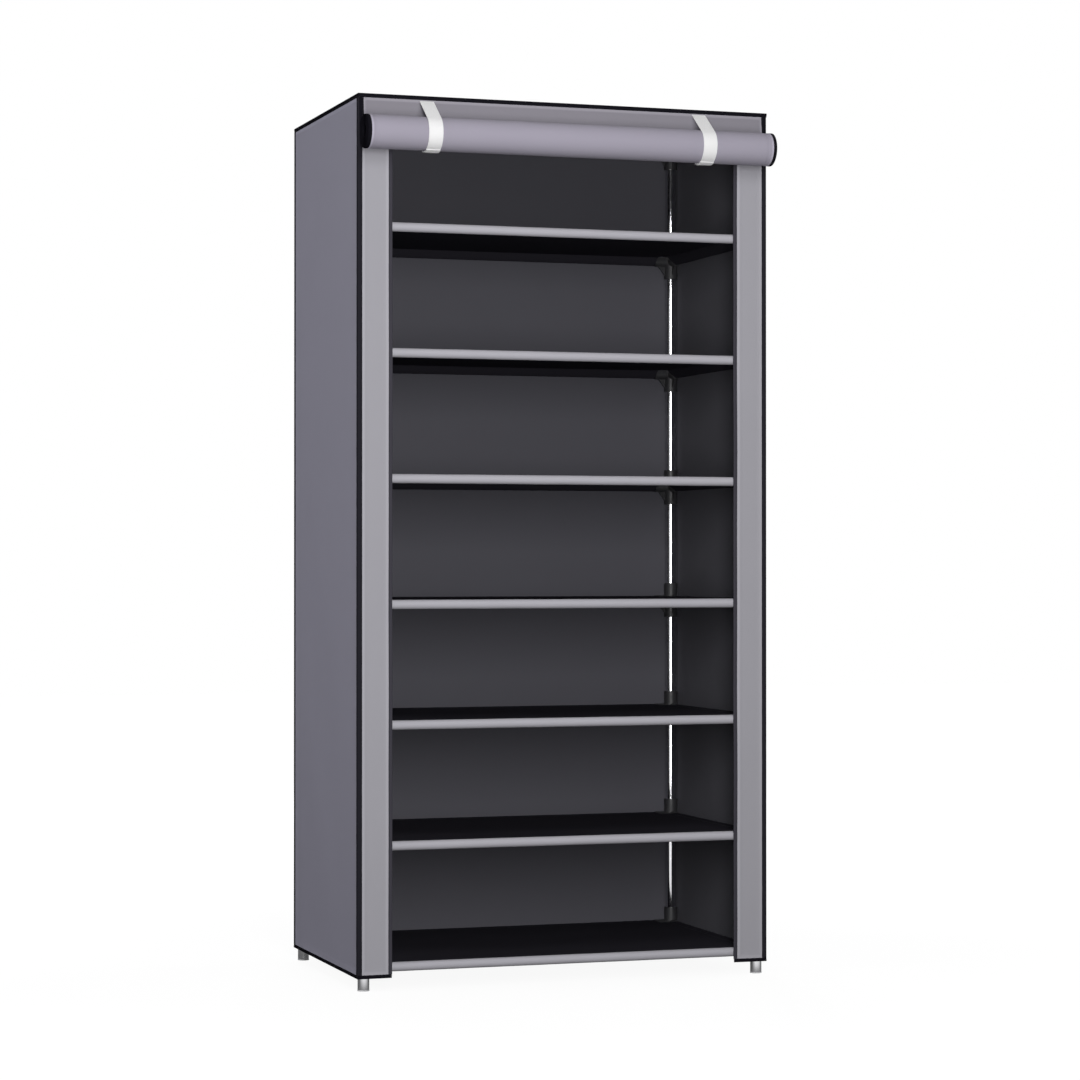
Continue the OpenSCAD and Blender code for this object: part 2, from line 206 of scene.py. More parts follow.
class RackStitchSettings(bpy.types.PropertyGroup):
    """Sizes of the stitches"""

    pitch: length("Pitch", 3.4 * MM, "Distance between stitches")
    stitch: length("Stitch Length", 2.6 * MM, "Length of thread that shows between two holes")
    thread: length("Thread Radius", 0.2 * MM, "Radius of the sewing thread")


class RackStageSettings(bpy.types.PropertyGroup):
    """Amounts of light, each on a surface that faces its lamp"""

    ambient: share("Room Light", 0.05, "Even light from all round, where 1 shows a colour as written")
    front: share("Front Light", 0.80, "Light of the lamp beside the camera on a surface that faces it")
    left: share("Left Light", 0.36, "Light of the lamp to the left of the rack")
    upper: share("Upper Light", 0.25, "Light of the nearer, higher lamp in front of the rack")
    right: share("Right Light", 0.45, "Light of the lamp to the right of the rack")
    back: share("Back Light", 0.55, "Light of the lamp behind the rack")


class RackSettings(bpy.types.PropertyGroup):
    """All that a user would change"""

    finish: PointerProperty(name="Finish", description="Colours and grain", type=RackFinishSettings)
    cloth: PointerProperty(name="Cloth", description="Waves and sags", type=RackClothSettings)
    stitches: PointerProperty(name="Stitches", description="Sizes of stitches", type=RackStitchSettings)
    stage: PointerProperty(name="Stage", description="Amounts of light", type=RackStageSettings)


def settings():
    return bpy.context.scene.rack


# Meshes

# Distances from an edge, in millimetres, at which a sheet has a line of points
SEAM_LINES = (0.0, 2.0, 4.0, 5.5, 6.5, 8.0, 9.5, 11.0, 14.0, 18.0)
SLEEVE_LINES = (0.0, 1.0, 2.5, 4.0, 6.0)


def spread(start, end, step, edge=SEAM_LINES):
    """Places from start to end about a step apart, and closer together beside both ends."""
    near = np.array(edge) * MM
    far = end - start - 2 * near[-1]
    count = max(1, round(far / step))
    inner = np.linspace(start + near[-1], end - near[-1], count + 1)[1:-1]
    return np.concatenate([start + near, inner, (end - near)[::-1]])


def ripple(u, v, seed, wave_u, wave_v):
    """A smooth wander between -1 and 1 over a sheet, the same in each run."""
    chance = random.Random(seed)
    total = 0.0
    for octave, weight in ((1.0, 0.55), (1.9, 0.3), (3.3, 0.15)):
        turn_u, turn_v = chance.uniform(0, math.tau), chance.uniform(0, math.tau)
        lean = chance.uniform(-0.4, 0.4)
        total = total + weight * (
            np.sin(math.tau * octave * (u / wave_u + lean * v / wave_v) + turn_u)
            * np.sin(math.tau * octave * v / wave_v + turn_v))
    return total


def hill(distance, centre, width):
    """A smooth hill, 1 high at its centre and 0 beyond its width."""
    reach = np.clip(np.abs(distance - centre) / width, 0, 1)
    return 0.5 + 0.5 * np.cos(math.pi * reach)


def loft(name, rows, loop=False, ring=False, capped=False, facing=None, seam=None):
    """A mesh through rows of points. loop closes each row on itself, ring joins the last row to the first,
    and facing is where the first face looks. The map, cut, holds distances along the cloth in metres."""
    rows = np.asarray(rows, float)
    row_count, column_count = rows.shape[:2]
    looped = np.concatenate([rows, rows[:, :1]], axis=1) if loop else rows
    ringed = np.concatenate([rows, rows[:1]], axis=0) if ring else rows
    steps = np.linalg.norm(np.diff(looped, axis=1), axis=2)
    along = np.concatenate([np.zeros((row_count, 1)), np.cumsum(steps, axis=1)], axis=1)
    across = np.concatenate([[0.0], np.cumsum(np.linalg.norm(np.diff(ringed, axis=0), axis=2).mean(axis=1))])
    faces, corners = [], []
    for i in range(len(ringed) - 1):
        below = (i + 1) % row_count
        for j in range(looped.shape[1] - 1):
            beside = (j + 1) % column_count
            faces.append((i * column_count + j, i * column_count + beside,
                          below * column_count + beside, below * column_count + j))
            corners += [(along[i, j], across[i]), (along[i, j + 1], across[i]),
                        (along[below, j + 1], across[i + 1]), (along[below, j], across[i + 1])]
    if capped:
        for i, order in ((0, range(column_count)), (row_count - 1, reversed(range(column_count)))):
            order = list(order)
            faces.append(tuple(i * column_count + j for j in order))
            corners += [(along[i, j], across[i]) for j in order]
    mesh = bpy.data.meshes.new(name)
    mesh.from_pydata(rows.reshape(-1, 3).tolist(), [], faces)
    cut = mesh.uv_layers.new(name="cut")
    cut.data.foreach_set("uv", np.array(corners, np.float32).ravel())
    if seam is not None:
        attribute = mesh.attributes.new("seam", "FLOAT", "POINT")
        attribute.data.foreach_set("value", np.asarray(seam, np.float32).ravel())
    if facing is not None and mesh.polygons[0].normal.dot(Vector(facing)) < 0:
        mesh.flip_normals()
    if loop and (capped or ring):
        turn_outwards(mesh)
    piece = bpy.data.objects.new(name, mesh)
    bpy.context.scene.collection.objects.link(piece)
    return piece


def turn_outwards(mesh):
    """Turns a closed shell's faces outwards."""
    shell = bmesh.new()
    shell.from_mesh(mesh)
    bmesh.ops.recalc_face_normals(shell, faces=shell.faces)
    shell.to_mesh(mesh)
    shell.free()


def settle(piece, sharp=50.0):
    """Makes a piece with modifiers a plain mesh, smooth apart from edges sharper than so many degrees."""
    graph = bpy.context.evaluated_depsgraph_get()
    mesh = bpy.data.meshes.new_from_object(piece.evaluated_get(graph), preserve_all_data_layers=True,
                                           depsgraph=graph)
    old = piece.data
    piece.modifiers.clear()
    piece.data = mesh
    bpy.data.meshes.remove(old)
    mesh.name = piece.name
    mesh.shade_smooth()
    mesh.set_sharp_from_angle(angle=math.radians(sharp))
    return piece


def dress(piece, *finishes):
    for finish in finishes:
        piece.data.materials.append(bpy.data.materials[finish])
    return piece


def thicken(piece, outer, inner):
    """Gives a sheet the cloth's thickness behind the face that it shows, with a finish on each side."""
    dress(piece, outer, inner)
    wall = piece.modifiers.new("cloth", "SOLIDIFY")
    wall.thickness = CLOTH
    wall.offset = -1.0
    wall.material_offset = 1
    wall.material_offset_rim = 0
    return settle(piece)


def join(name, pieces):
    """Joins pieces that are sewn into one, with their finishes."""
    with bpy.context.temp_override(active_object=pieces[0], selected_editable_objects=pieces):
        bpy.ops.object.join()
    pieces[0].name = name
    pieces[0].data.name = name
    return pieces[0]


def label(piece, slot, *nodes):
    """Hides the CAD nodes that a piece stands for; slot is not used."""
    if nodes:
        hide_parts(*nodes)
    return piece


def carry(piece, body, slot, *nodes):
    """Puts a piece on a body and labels it."""
    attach(piece, body)
    return label(piece, slot, *nodes)


# Finishes

# Beside a seam the cloth is painted lighter, a painted highlight, and that fades out between these distances
# from its edge
SEAM_HIGHLIGHT_STRIP = (TAPE_W + 1.0 * MM, TAPE_W + 4.0 * MM)
TAPE_RIB = 0.9 * MM
WEBBING_RIB = 1.5 * MM
MOULDED_EDGE = 0.7 * MM


def add(tree, kind, inputs=None, **choices):
    """Adds a node to a tree, sets its choices, and fills its inputs with values or other nodes' outputs."""
    made = tree.nodes.new(kind)
    for name, value in choices.items():
        setattr(made, name, value)
    for name, value in (inputs or {}).items():
        if isinstance(value, bpy.types.NodeSocket):
            tree.links.new(value, made.inputs[name])
        else:
            made.inputs[name].default_value = value
    return made


def worked(tree, operation, first, second=0.0):
    """The result of a sum on numbers or outputs."""
    return add(tree, "ShaderNodeMath", {0: first, 1: second}, operation=operation).outputs[0]


def times(tree, first, second):
    return worked(tree, "MULTIPLY", first, second)


def plus(tree, first, second):
    return worked(tree, "ADD", first, second)


def noise(tree, scale, detail=2.0):
    """Noise that is fixed to the piece."""
    place = add(tree, "ShaderNodeTexCoord").outputs["Object"]
    made = add(tree, "ShaderNodeTexNoise", {"Vector": place, "Scale": scale, "Detail": detail})
    return made.outputs["Fac"]


def emboss(tree, surface, strength, depth, height, **inputs):
    """Raises the surface by up to a depth where the height is 1."""
    bump = add(tree, "ShaderNodeBump",
               {"Strength": strength, "Distance": depth, "Height": height, **inputs})
    tree.links.new(bump.outputs["Normal"], surface.inputs["Normal"])


def ranged(tree, value, start, end, to_start=0.0, to_end=1.0):
    """Runs from to_start to to_end as the value goes from start to end, smoothly and no further."""
    return add(tree, "ShaderNodeMapRange",
               {"Value": value, "From Min": start, "From Max": end, "To Min": to_start, "To Max": to_end},
               interpolation_type="SMOOTHSTEP").outputs["Result"]


def mixed(tree, factor, first, second):
    """A mix of two colours."""
    return add(tree, "ShaderNodeMix", {0: factor, 6: first, 7: second}, data_type="RGBA").outputs[2]


def shade(tint, amount):
    """A colour made lighter or darker."""
    return tuple(min(1.0, part * amount) for part in tint) + (1.0,)


def tinted(tree, tint, factor, darkest, lightest):
    """A tint that gets lighter as the factor goes from 0 to 1."""
    return mixed(tree, factor, shade(tint, darkest), shade(tint, lightest))


def paint(tree, surface, tone):
    tree.links.new(tone, surface.inputs["Base Color"])


def start_finish(name, roughness, specular, metallic=0.0, sheen=0.0):
    """A new material: its node tree, and its surface shader with these values."""
    material = bpy.data.materials.new(name)
    material.use_nodes = True
    surface = material.node_tree.nodes["Principled BSDF"]
    for socket, value in (("Roughness", roughness), ("Specular IOR Level", specular), ("Metallic", metallic),
                          ("Sheen Weight", sheen), ("Sheen Roughness", 0.5)):
        surface.inputs[socket].default_value = value
    return material.node_tree, surface


def make_cloth(name, tint, seam_highlight=0.0, specular=0.05, sheen=0.04, mottle=0.05):
    """Non-woven cloth: fibres pressed together in rows of small dots, with a painted highlight beside a
    seam.
    """
    finish = settings().finish
    tree, surface = start_finish(name, roughness=0.8, specular=specular, sheen=sheen)
    cut = add(tree, "ShaderNodeUVMap", uv_map="cut").outputs["UV"]
    turned = add(tree, "ShaderNodeMapping", {"Vector": cut, "Rotation": (0.0, 0.0, math.radians(45))})
    dots = add(tree, "ShaderNodeTexVoronoi",
               {"Vector": turned.outputs["Vector"], "Scale": 1.0 / finish.dot_pitch, "Randomness": 0.0},
               voronoi_dimensions="2D").outputs["Distance"]
    pressed = ranged(tree, dots, 0.15, 0.42)
    fibres = noise(tree, 1500.0)
    clouds = noise(tree, 18.0, detail=4.0)
    specks = noise(tree, 420.0, detail=1.0)
    worn = plus(tree, times(tree, clouds, 0.6), times(tree, specks, 0.4))
    tone = tinted(tree, tint, ranged(tree, worn, 0.35, 0.65), 1 - mottle, 1 + mottle)
    tone = mixed(tree, times(tree, pressed, 0.12), shade(tint, 0.9), tone)
    # Painted highlight: the cloth is painted lighter within a few millimetres of a seam
    if seam_highlight:
        seam = add(tree, "ShaderNodeAttribute", attribute_name="seam").outputs["Fac"]
        near = ranged(tree, seam, *SEAM_HIGHLIGHT_STRIP, 1.0, 0.0)
        tone = mixed(tree, times(tree, near, seam_highlight), tone, shade(tint, 1.6))
    paint(tree, surface, tone)
    emboss(tree, surface, 0.8, finish.dot_depth, plus(tree, pressed, times(tree, fibres, 0.5)))


def make_ribbed(name, tint, rib, depth, specular=0.0, sheen=0.0, zigzag=0.0):
    """Woven tape: fine ribs across it, in a zigzag where it is a herringbone weave."""
    tree, surface = start_finish(name, roughness=0.75, specular=specular, sheen=sheen)
    cut = add(tree, "ShaderNodeUVMap", uv_map="cut").outputs["UV"]
    parts = add(tree, "ShaderNodeSeparateXYZ", {"Vector": cut}).outputs
    run = parts["Y"]
    if zigzag:
        run = plus(tree, run, worked(tree, "PINGPONG", parts["X"], zigzag))
    wave = worked(tree, "SINE", times(tree, run, math.tau / rib))
    threads = worked(tree, "SINE", times(tree, parts["X"], math.tau / (rib * 0.6)))
    height = plus(tree, times(tree, wave, 0.35), times(tree, threads, 0.15))
    paint(tree, surface, tinted(tree, tint, ranged(tree, height, -0.5, 0.5), 0.86, 1.05))
    emboss(tree, surface, 0.7, depth, height)


def make_thread(name, tint):
    """Twisted sewing thread."""
    tree, surface = start_finish(name, roughness=0.5, specular=0.2, sheen=0.04)
    paint(tree, surface, tinted(tree, tint, noise(tree, 2500.0), 0.85, 1.15))


def make_steel():
    """Bright plated tube with faint draw marks and a few dull patches."""
    tree, surface = start_finish("plated_steel", roughness=0.12, specular=0.5, metallic=1.0)
    patches = noise(tree, 30.0, detail=5.0)
    paint(tree, surface, tinted(tree, settings().finish.steel, patches, 0.93, 1.03))
    tree.links.new(ranged(tree, patches, 0.3, 0.8, 0.07, 0.2), surface.inputs["Roughness"])
    draw_marks = noise(tree, 900.0)
    emboss(tree, surface, 0.25, 0.02 * MM, draw_marks)


def make_plastic(name, tint, roughness, grain):
    """Moulded plastic: a fine grain, edges that catch the light, and slightly rubbed faces."""
    tree, surface = start_finish(name, roughness=roughness, specular=0.5)
    rubbed = noise(tree, 45.0, detail=4.0)
    paint(tree, surface, tinted(tree, tint, rubbed, 0.85, 1.2))
    gloss = ranged(tree, rubbed, 0.3, 0.7, roughness - 0.08, roughness + 0.08)
    tree.links.new(gloss, surface.inputs["Roughness"])
    rounded = add(tree, "ShaderNodeBevel", {"Radius": MOULDED_EDGE}, samples=4).outputs["Normal"]
    emboss(tree, surface, 0.4, grain, noise(tree, 1400.0, detail=1.0), Normal=rounded)


class RACK_OT_mix_finishes(bpy.types.Operator):
    """Make the rack's materials and put them on the frame's tubes, connectors and feet"""

    bl_idname = "rack.mix_finishes"
    bl_label = "Mix Finishes"

    def execute(self, context):
        finish = settings().finish
        # The cover's and the curtain's cloths get a painted highlight beside their seams
        make_cloth("flap_cloth", finish.flap, seam_highlight=0.22)
        make_cloth("curtain_cloth", finish.curtain, seam_highlight=0.42)
        # Painted shade: the curtain's outer face is a darker copy of the front cloth
        make_cloth("shaded_curtain_face", finish.face, seam_highlight=0.42)
        make_cloth("panel_cloth", finish.side, seam_highlight=0.22)
        # Painted highlight: the sleeves are a lighter copy of the front cloth
        make_cloth("sleeve_cloth", finish.sleeve)
        make_cloth("lining_cloth", finish.lining, specular=0.0, sheen=0.02, mottle=0.08)
        make_cloth("black_cloth", finish.shelf, specular=0.0, sheen=0.0, mottle=0.1)
        # The corner and flap tapes are lighter copies of the black tape: painted light
        for name, tint in (("black_tape", finish.tape), ("corner_tape", finish.corner_tape),
                           ("flap_tape", finish.flap_tape)):
            make_ribbed(name, tint, rib=TAPE_RIB, depth=0.06 * MM)
        make_ribbed("white_webbing", finish.webbing, rib=WEBBING_RIB, depth=0.25 * MM, specular=0.1,
                    sheen=0.7, zigzag=2 * WEBBING_RIB)
        make_thread("black_thread", (0.012, 0.012, 0.014))
        make_thread("curtain_thread", shade(finish.curtain, 0.75)[:3])
        make_steel()
        make_plastic("charcoal_plastic", finish.plastic, roughness=0.48, grain=0.05 * MM)
        make_plastic("pale_plastic", finish.plug, roughness=0.4, grain=0.03 * MM)
        hard = {"steel_tube": "plated_steel", "socket_plastic": "charcoal_plastic",
                "plug_plastic": "pale_plastic"}
        for part in frame["record"]["subparts"]:
            if part["material_slot"] in hard:
                node = frame["nodes"][part["node"]]
                node.data.materials.clear()
                dress(node, hard[part["material_slot"]])
        return {"FINISHED"}


# Cover

ALL_ROUND = ("left", "right", "bottom", "top")
PANEL_STEP = 20 * MM
# How far from its top and bottom a panel is held flat, and from its top a flap
PANEL_HELD = 30 * MM
FLAP_HELD = 80 * MM
# Lengths of the cover's waves up its height, in metres
PANEL_WAVE = 0.42
FLAP_WAVES = (0.31, 0.83)
# How far from an edge the cloth swells most, and how wide that swelling is to either side
PILLOW_AT = TAPE_W + 2.5 * MM
PILLOW_HALF = 3.0 * MM


def seam_distance(u, v, width, height, bound):
    """Distance to the nearest bound edge, where bound names the left, right, bottom and top edges."""
    edges = {"left": u, "right": width - u, "bottom": v, "top": height - v}
    return np.minimum.reduce([edges[name] for name in bound])


def pillow(seam):
    """The cloth's swelling beside a binding that draws it in."""
    return settings().cloth.pillow * hill(seam, PILLOW_AT, PILLOW_HALF)


def flat_cloth(name, corner, axes, size, lift, bound=ALL_ROUND, outer="panel_cloth"):
    """A sheet that starts flat in its corner. axes run along its width, up its height and out of it,
    lift gives how far each place stands out of its plane, and bound names the edges under a tape."""
    across, up, facing = axes
    u, v = np.meshgrid(*(spread(0.0, run, PANEL_STEP) for run in size))
    seam = seam_distance(u, v, *size, bound)
    out = lift(u, v) + pillow(seam)
    rows = np.array(corner) + u[..., None] * across + v[..., None] * up + out[..., None] * facing
    return thicken(loft(name, rows, facing=facing, seam=seam), outer, "lining_cloth")


def panel_slack(width, height, seed):
    """Lift of a cover panel: drawn in between its posts, with long shallow waves."""
    cloth = settings().cloth

    def lift(u, v):
        free = np.sin(math.pi * np.clip(u / width, 0, 1)) * np.clip(v / PANEL_HELD, 0, 1)
        free = free * np.clip((height - v) / PANEL_HELD, 0, 1)
        return free * (cloth.slack * ripple(u, v, seed, width * 0.9, PANEL_WAVE) - cloth.drawn_in)

    return lift


def flap_wave(x, z):
    """How far a front flap stands behind its plane: nothing at the corner, most at its free edge."""
    free = np.clip((COVER_HALF - np.abs(x)) / (COVER_HALF - FLAP_EDGE), 0, 1) ** 2
    below = np.clip((COVER_TOP - z) / FLAP_HELD, 0, 1)
    side = np.where(np.asarray(x) > 0, 1.0, 0.0)
    short_wave = np.sin(math.tau * (z / FLAP_WAVES[0] + 0.37 * side))
    long_wave = np.sin(math.tau * z / FLAP_WAVES[1] + 1.1 + side)
    return settings().cloth.flap_wave * free * below * (0.5 + 0.5 * short_wave * long_wave)


class RACK_OT_make_cover(bpy.types.Operator):
    """Make the cover's side, back and roof panels and its two front flaps"""

    bl_idname = "rack.make_cover"
    bl_label = "Make Cover"

    def execute(self, context):
        depth = COVER_BACK - COVER_FRONT
        tall = COVER_TOP - CLOTH - COVER_BOTTOM
        wide = 2 * (COVER_HALF - CLOTH)
        for side, name in zip(SIDES, ("left_panel", "right_panel")):
            corner = (side * COVER_HALF, COVER_FRONT, COVER_BOTTOM)
            self.hang_panel(name, corner, (Y, Z, side * X), (depth, tall))
        self.hang_panel("back_panel", (-wide / 2, COVER_BACK, COVER_BOTTOM), (X, Z, Y), (wide, tall))
        self.make_roof(2 * COVER_HALF, depth)
        for side, name in zip(SIDES, ("left_flap", "right_flap")):
            self.make_flap(side, name, tall)
        return {"FINISHED"}

    def hang_panel(self, node, corner, axes, size):
        """An upright panel, sewn to its neighbours and the roof."""
        panel = flat_cloth(f"{node}_cloth", corner, axes, size, panel_slack(*size, node))
        carry(panel, "rack", "cover_cloth", node)

    def make_roof(self, width, depth):
        sag = settings().cloth.roof_sag

        def lift(u, v):
            held = np.sin(math.pi * u / width) * np.sin(math.pi * v / depth)
            return -held * sag * (0.85 + 0.15 * ripple(u, v, "roof", 0.3, 0.25))

        corner = (-COVER_HALF, COVER_FRONT, COVER_TOP)
        roof = flat_cloth("roof_panel_cloth", corner, (X, Y, Z), (width, depth), lift)
        carry(roof, "rack", "cover_cloth", "roof_panel")

    def make_flap(self, side, name, tall):
        outer_x = COVER_HALF - CLOTH
        width = outer_x - FLAP_EDGE

        def lift(u, v):
            return -flap_wave(side * (outer_x - u), COVER_BOTTOM + v)

        corner = (side * outer_x, COVER_FRONT, COVER_BOTTOM)
        flap = flat_cloth(f"{name}_cloth", corner, (-side * X, Z, -Y), (width, tall), lift,
                          bound=("left", "right", "bottom"), outer="flap_cloth")
        carry(flap, "rack", "front_cloth", name)


# Binding tapes

# A tape's stitches run at this share of its leg, and stand this far out of the cloth
STITCH_LINE = 0.7
STITCH_OUT = 0.5 * TAPE
# Along a leg from the fold, as shares of its length, and its thickness there, as a share of the tape's
CROWN = ((0.0, 1.0), (0.25, 1.0), (0.5, 0.95), (0.62, 0.8), (STITCH_LINE, 0.55), (0.78, 0.8), (0.9, 0.85),
         (1.0, 0.4))
TAPE_STEP = 60 * MM


def crown(leg):
    """Distances from the fold and thicknesses of one leg of a folded tape, drawn in at its stitches."""
    return [(place * leg, thickness * TAPE) for place, thickness in CROWN]


def corner_section(leg_a, leg_b):
    """Section of tape folded over an edge, as distances out of the edge's two faces."""
    fold = [(TAPE * math.cos(turn), TAPE * math.sin(turn)) for turn in np.linspace(0, math.pi / 2, 5)[1:-1]]
    return ([(thickness, -place) for place, thickness in reversed(crown(leg_a))] + fold
            + [(-place, thickness) for place, thickness in crown(leg_b)]
            + [(-leg_b, 0.0), (0.0, 0.0), (0.0, -leg_a)])


def edge_section(leg, inner_leg, inner_thickness):
    """Section of tape folded round a cloth's edge: out of the cloth's face, and past its edge."""
    half = (TAPE + CLOTH + inner_thickness) / 2
    fold = [(TAPE - half + half * math.cos(turn), TAPE * math.sin(turn))
            for turn in np.linspace(0, math.pi, 9)[1:-1]]
    front = [(thickness, -place) for place, thickness in reversed(crown(leg))]
    ratio = inner_thickness / TAPE
    back = [(-CLOTH - thickness * ratio, -place) for place, thickness in crown(inner_leg)]
    return front + fold + back + [(-CLOTH, -inner_leg), (-CLOTH, 0.0), (0.0, 0.0), (0.0, -leg)]


def sweep(name, stations, section, finish, ring=False):
    """Draws a section along stations, each a point and the section's two directions there."""
    rows = [[point + a * first + b * second for a, b in section] for point, first, second in stations]
    piece = loft(name, rows, loop=True, ring=ring, capped=not ring)
    return settle(dress(piece, finish), sharp=60.0)


def mitred(points, ring):
    """The outward directions at the points of a level path, longer at its corners to mitre them."""
    count = len(points)
    made = []
    for i, point in enumerate(points):
        before = point - points[i - 1] if ring or i > 0 else points[i + 1] - point
        after = points[(i + 1) % count] - point if ring or i < count - 1 else before
        outward = [np.array([run[1], -run[0], 0.0]) / np.linalg.norm(run) for run in (before, after)]
        together = outward[0] + outward[1]
        made.append(together / max(1e-9, together.dot(outward[0])))
    return made


def filled(points, step, ring=False):
    """The same path with more points along its straight runs."""
    ends = list(points[1:]) + ([points[0]] if ring else [])
    path = []
    for start, end in zip(points, ends):
        count = max(1, round(np.linalg.norm(end - start) / step))
        path += [start + (end - start) * i / count for i in range(count)]
    return path if ring else path + [points[-1]]


def cover_loop(front_y, z):
    """The cover's four corners, from the left front one and round the back."""
    return [np.array([x, y, z]) for x, y in ((-COVER_HALF, front_y), (COVER_HALF, front_y),
                                             (COVER_HALF, COVER_BACK), (-COVER_HALF, COVER_BACK))]


class RACK_OT_make_tapes(bpy.types.Operator):
    """Make the black tapes that bind the roof, the upright seams, the bottom edge and the flaps"""

    bl_idname = "rack.make_tapes"
    bl_label = "Make Binding Tapes"

    def execute(self, context):
        self.bind_roof()
        self.bind_corners()
        self.bind_bottom()
        self.bind_flaps()
        return {"FINISHED"}

    def bind_roof(self):
        path = filled(cover_loop(CURTAIN_FRONT, COVER_TOP), TAPE_STEP, ring=True)
        stations = [(point, out, Z) for point, out in zip(path, mitred(path, ring=True))]
        section = corner_section(ROOF_LEG, ROOF_TOP_LEG)
        tape = sweep("roof_tape", stations, section, "black_tape", ring=True)
        carry(tape, "rack", "binding_tape", "roof_binding")

    def bind_corners(self):
        heights = np.linspace(COVER_BOTTOM + BOTTOM_LEG, COVER_TOP - ROOF_LEG, 60)
        section = corner_section(TAPE_W, TAPE_W)
        tapes = []
        for side in SIDES:
            for y, out in ((COVER_FRONT, -Y), (COVER_BACK, Y)):
                stations = [(np.array([side * COVER_HALF, y, z]), side * X, out) for z in heights]
                tapes.append(sweep("corner", stations, section, "corner_tape"))
        carry(join("corner_tapes", tapes), "rack", "binding_tape", "corner_bindings")

    def bind_bottom(self):
        front = [np.array([x, COVER_FRONT, COVER_BOTTOM]) for x in np.linspace(FLAP_EDGE, COVER_HALF, 7)]
        back = [np.array([side * COVER_HALF, COVER_BACK, COVER_BOTTOM]) for side in (1, -1)]
        mirrored = [point * (-1, 1, 1) for point in reversed(front)]
        path = front[:-1] + filled([front[-1], *back, mirrored[0]], TAPE_STEP) + mirrored[1:]
        stations = []
        for point, out in zip(path, mitred(path, ring=False)):
            if point[1] == COVER_FRONT:
                point = point + Y * flap_wave(point[0], COVER_BOTTOM)
            stations.append((point, out, -Z))
        section = edge_section(BOTTOM_LEG, BOTTOM_INNER_LEG, FOLDED_IN)
        tape = sweep("bottom_tape", stations, section, "black_tape")
        carry(tape, "rack", "binding_tape", "bottom_binding")

    def bind_flaps(self):
        heights = np.linspace(COVER_BOTTOM + BOTTOM_LEG, COVER_TOP - CLOTH, 90)
        section = edge_section(FLAP_TAPE_W, FLAP_TAPE_W, TAPE)
        tapes = []
        for side in SIDES:
            x = side * FLAP_EDGE
            stations = [(np.array([x, COVER_FRONT + flap_wave(x, z), z]), -Y, -side * X) for z in heights]
            tapes.append(sweep("flap", stations, section, "flap_tape"))
        carry(join("flap_tapes", tapes), "rack", "binding_tape", "flap_bindings")


# Shelves

# A deck ends this far from its tubes' axes, and its face lies this far below the top of its sleeves
DECK_INSET = 12 * MM
DECK_FRONT_INSET = 4 * MM
DECK_DROP = 0.3 * MM
DECK_RIPPLE = 0.5 * MM
NOTCH_FRONT = RAIL_FRONT + SLEEVE_IN
NOTCH_BACK = RAIL_BACK - SLEEVE_IN
# A hem's band leaves its deck this far from its tube, and runs round it between two angles in degrees
HEM_REACH = 15 * MM
HEM_ARC = (85, 300)
HEM_STEPS = 32
# A front sleeve is this much tighter than its solid away from its ends, has creases and a seam so
# high, and its seam lies so many degrees round its tube, from the front over the top
SLEEVE_TIGHT = 0.15 * MM
SLEEVE_CREASE = 0.12 * MM
SLEEVE_SEAM = 0.5 * MM
SLEEVE_SEAM_AT = 130.0
SLEEVE_STEP = 12 * MM


def shelf_lines():
    """Grid lines of a shelf's deck, with a line at each side of its corner notches."""
    edge = RAIL_SIDE - DECK_INSET
    xs = np.concatenate([[-edge], np.linspace(-SLEEVE_HALF, SLEEVE_HALF, 45), [edge]])
    front, back = RAIL_FRONT + DECK_FRONT_INSET, RAIL_BACK - DECK_INSET
    ys = np.concatenate([[front, (front + NOTCH_FRONT) / 2],
                         np.linspace(NOTCH_FRONT, NOTCH_BACK, 26), [back]])
    return xs, ys


def deck_z(x, y, level):
    """Height of a deck's face, which sags between its four sides."""
    mid_y = (RAIL_FRONT + RAIL_BACK) / 2
    bowl = (1 - (x / RAIL_SIDE) ** 2) * (1 - ((y - mid_y) / (RAIL_BACK - mid_y)) ** 2)
    sag = settings().cloth.shelf_sag + DECK_RIPPLE * ripple(x, y, f"shelf_{level + 1}", 0.22, 0.17)
    return LEVELS[level] + (SLEEVE_R - DECK_DROP - np.clip(bowl, 0, 1) * sag)


def make_deck(level):
    """A shelf's deck: one sheet with its four corners cut away for the connectors."""
    x, y = np.meshgrid(*shelf_lines())
    deck = loft("deck", np.stack([x, y, deck_z(x, y, level)], axis=-1), facing=Z)
    notch = bmesh.new()
    notch.from_mesh(deck.data)
    places = [(face, face.calc_center_median()) for face in notch.faces]
    gone = [face for face, at in places if abs(at.x) > SLEEVE_HALF and not NOTCH_FRONT < at.y < NOTCH_BACK]
    bmesh.ops.delete(notch, geom=gone, context="FACES")
    notch.to_mesh(deck.data)
    notch.free()
    return thicken(deck, "black_cloth", "black_cloth")


def between(first, second, lift):
    """The middle between two points of a section, lifted."""
    return (first[0] + second[0]) / 2, (first[1] + second[1]) / 2 + lift


def hem_section():
    """Section of a hem's band round its tube: from under the deck, over the tube and back to the deck."""
    start = (HEM_REACH, SLEEVE_R - CLOTH - DECK_DROP)
    end = (HEM_REACH, SLEEVE_R - 2.6 * CLOTH)
    arc = [(SLEEVE_R * math.cos(turn), SLEEVE_R * math.sin(turn))
           for turn in np.radians(np.linspace(*HEM_ARC, 24))]
    return [start, between(start, arc[0], 0.1 * MM), *arc, between(arc[-1], end, -0.4 * MM), end]


def wrap_hem(start, end, inward):
    """The band of a shelf cloth round one tube, whose deck lies on the inward side."""
    section = hem_section()
    rows = []
    for i in range(HEM_STEPS + 1):
        at = start + (end - start) * i / HEM_STEPS
        puff = 1 + 0.015 * math.sin(i * 1.7) * math.sin(i * 0.9 + 1)
        rows.append([at + inward * a * puff + Z * b for a, b in section])
    return thicken(loft("hem", rows, facing=Z), "black_cloth", "black_cloth")


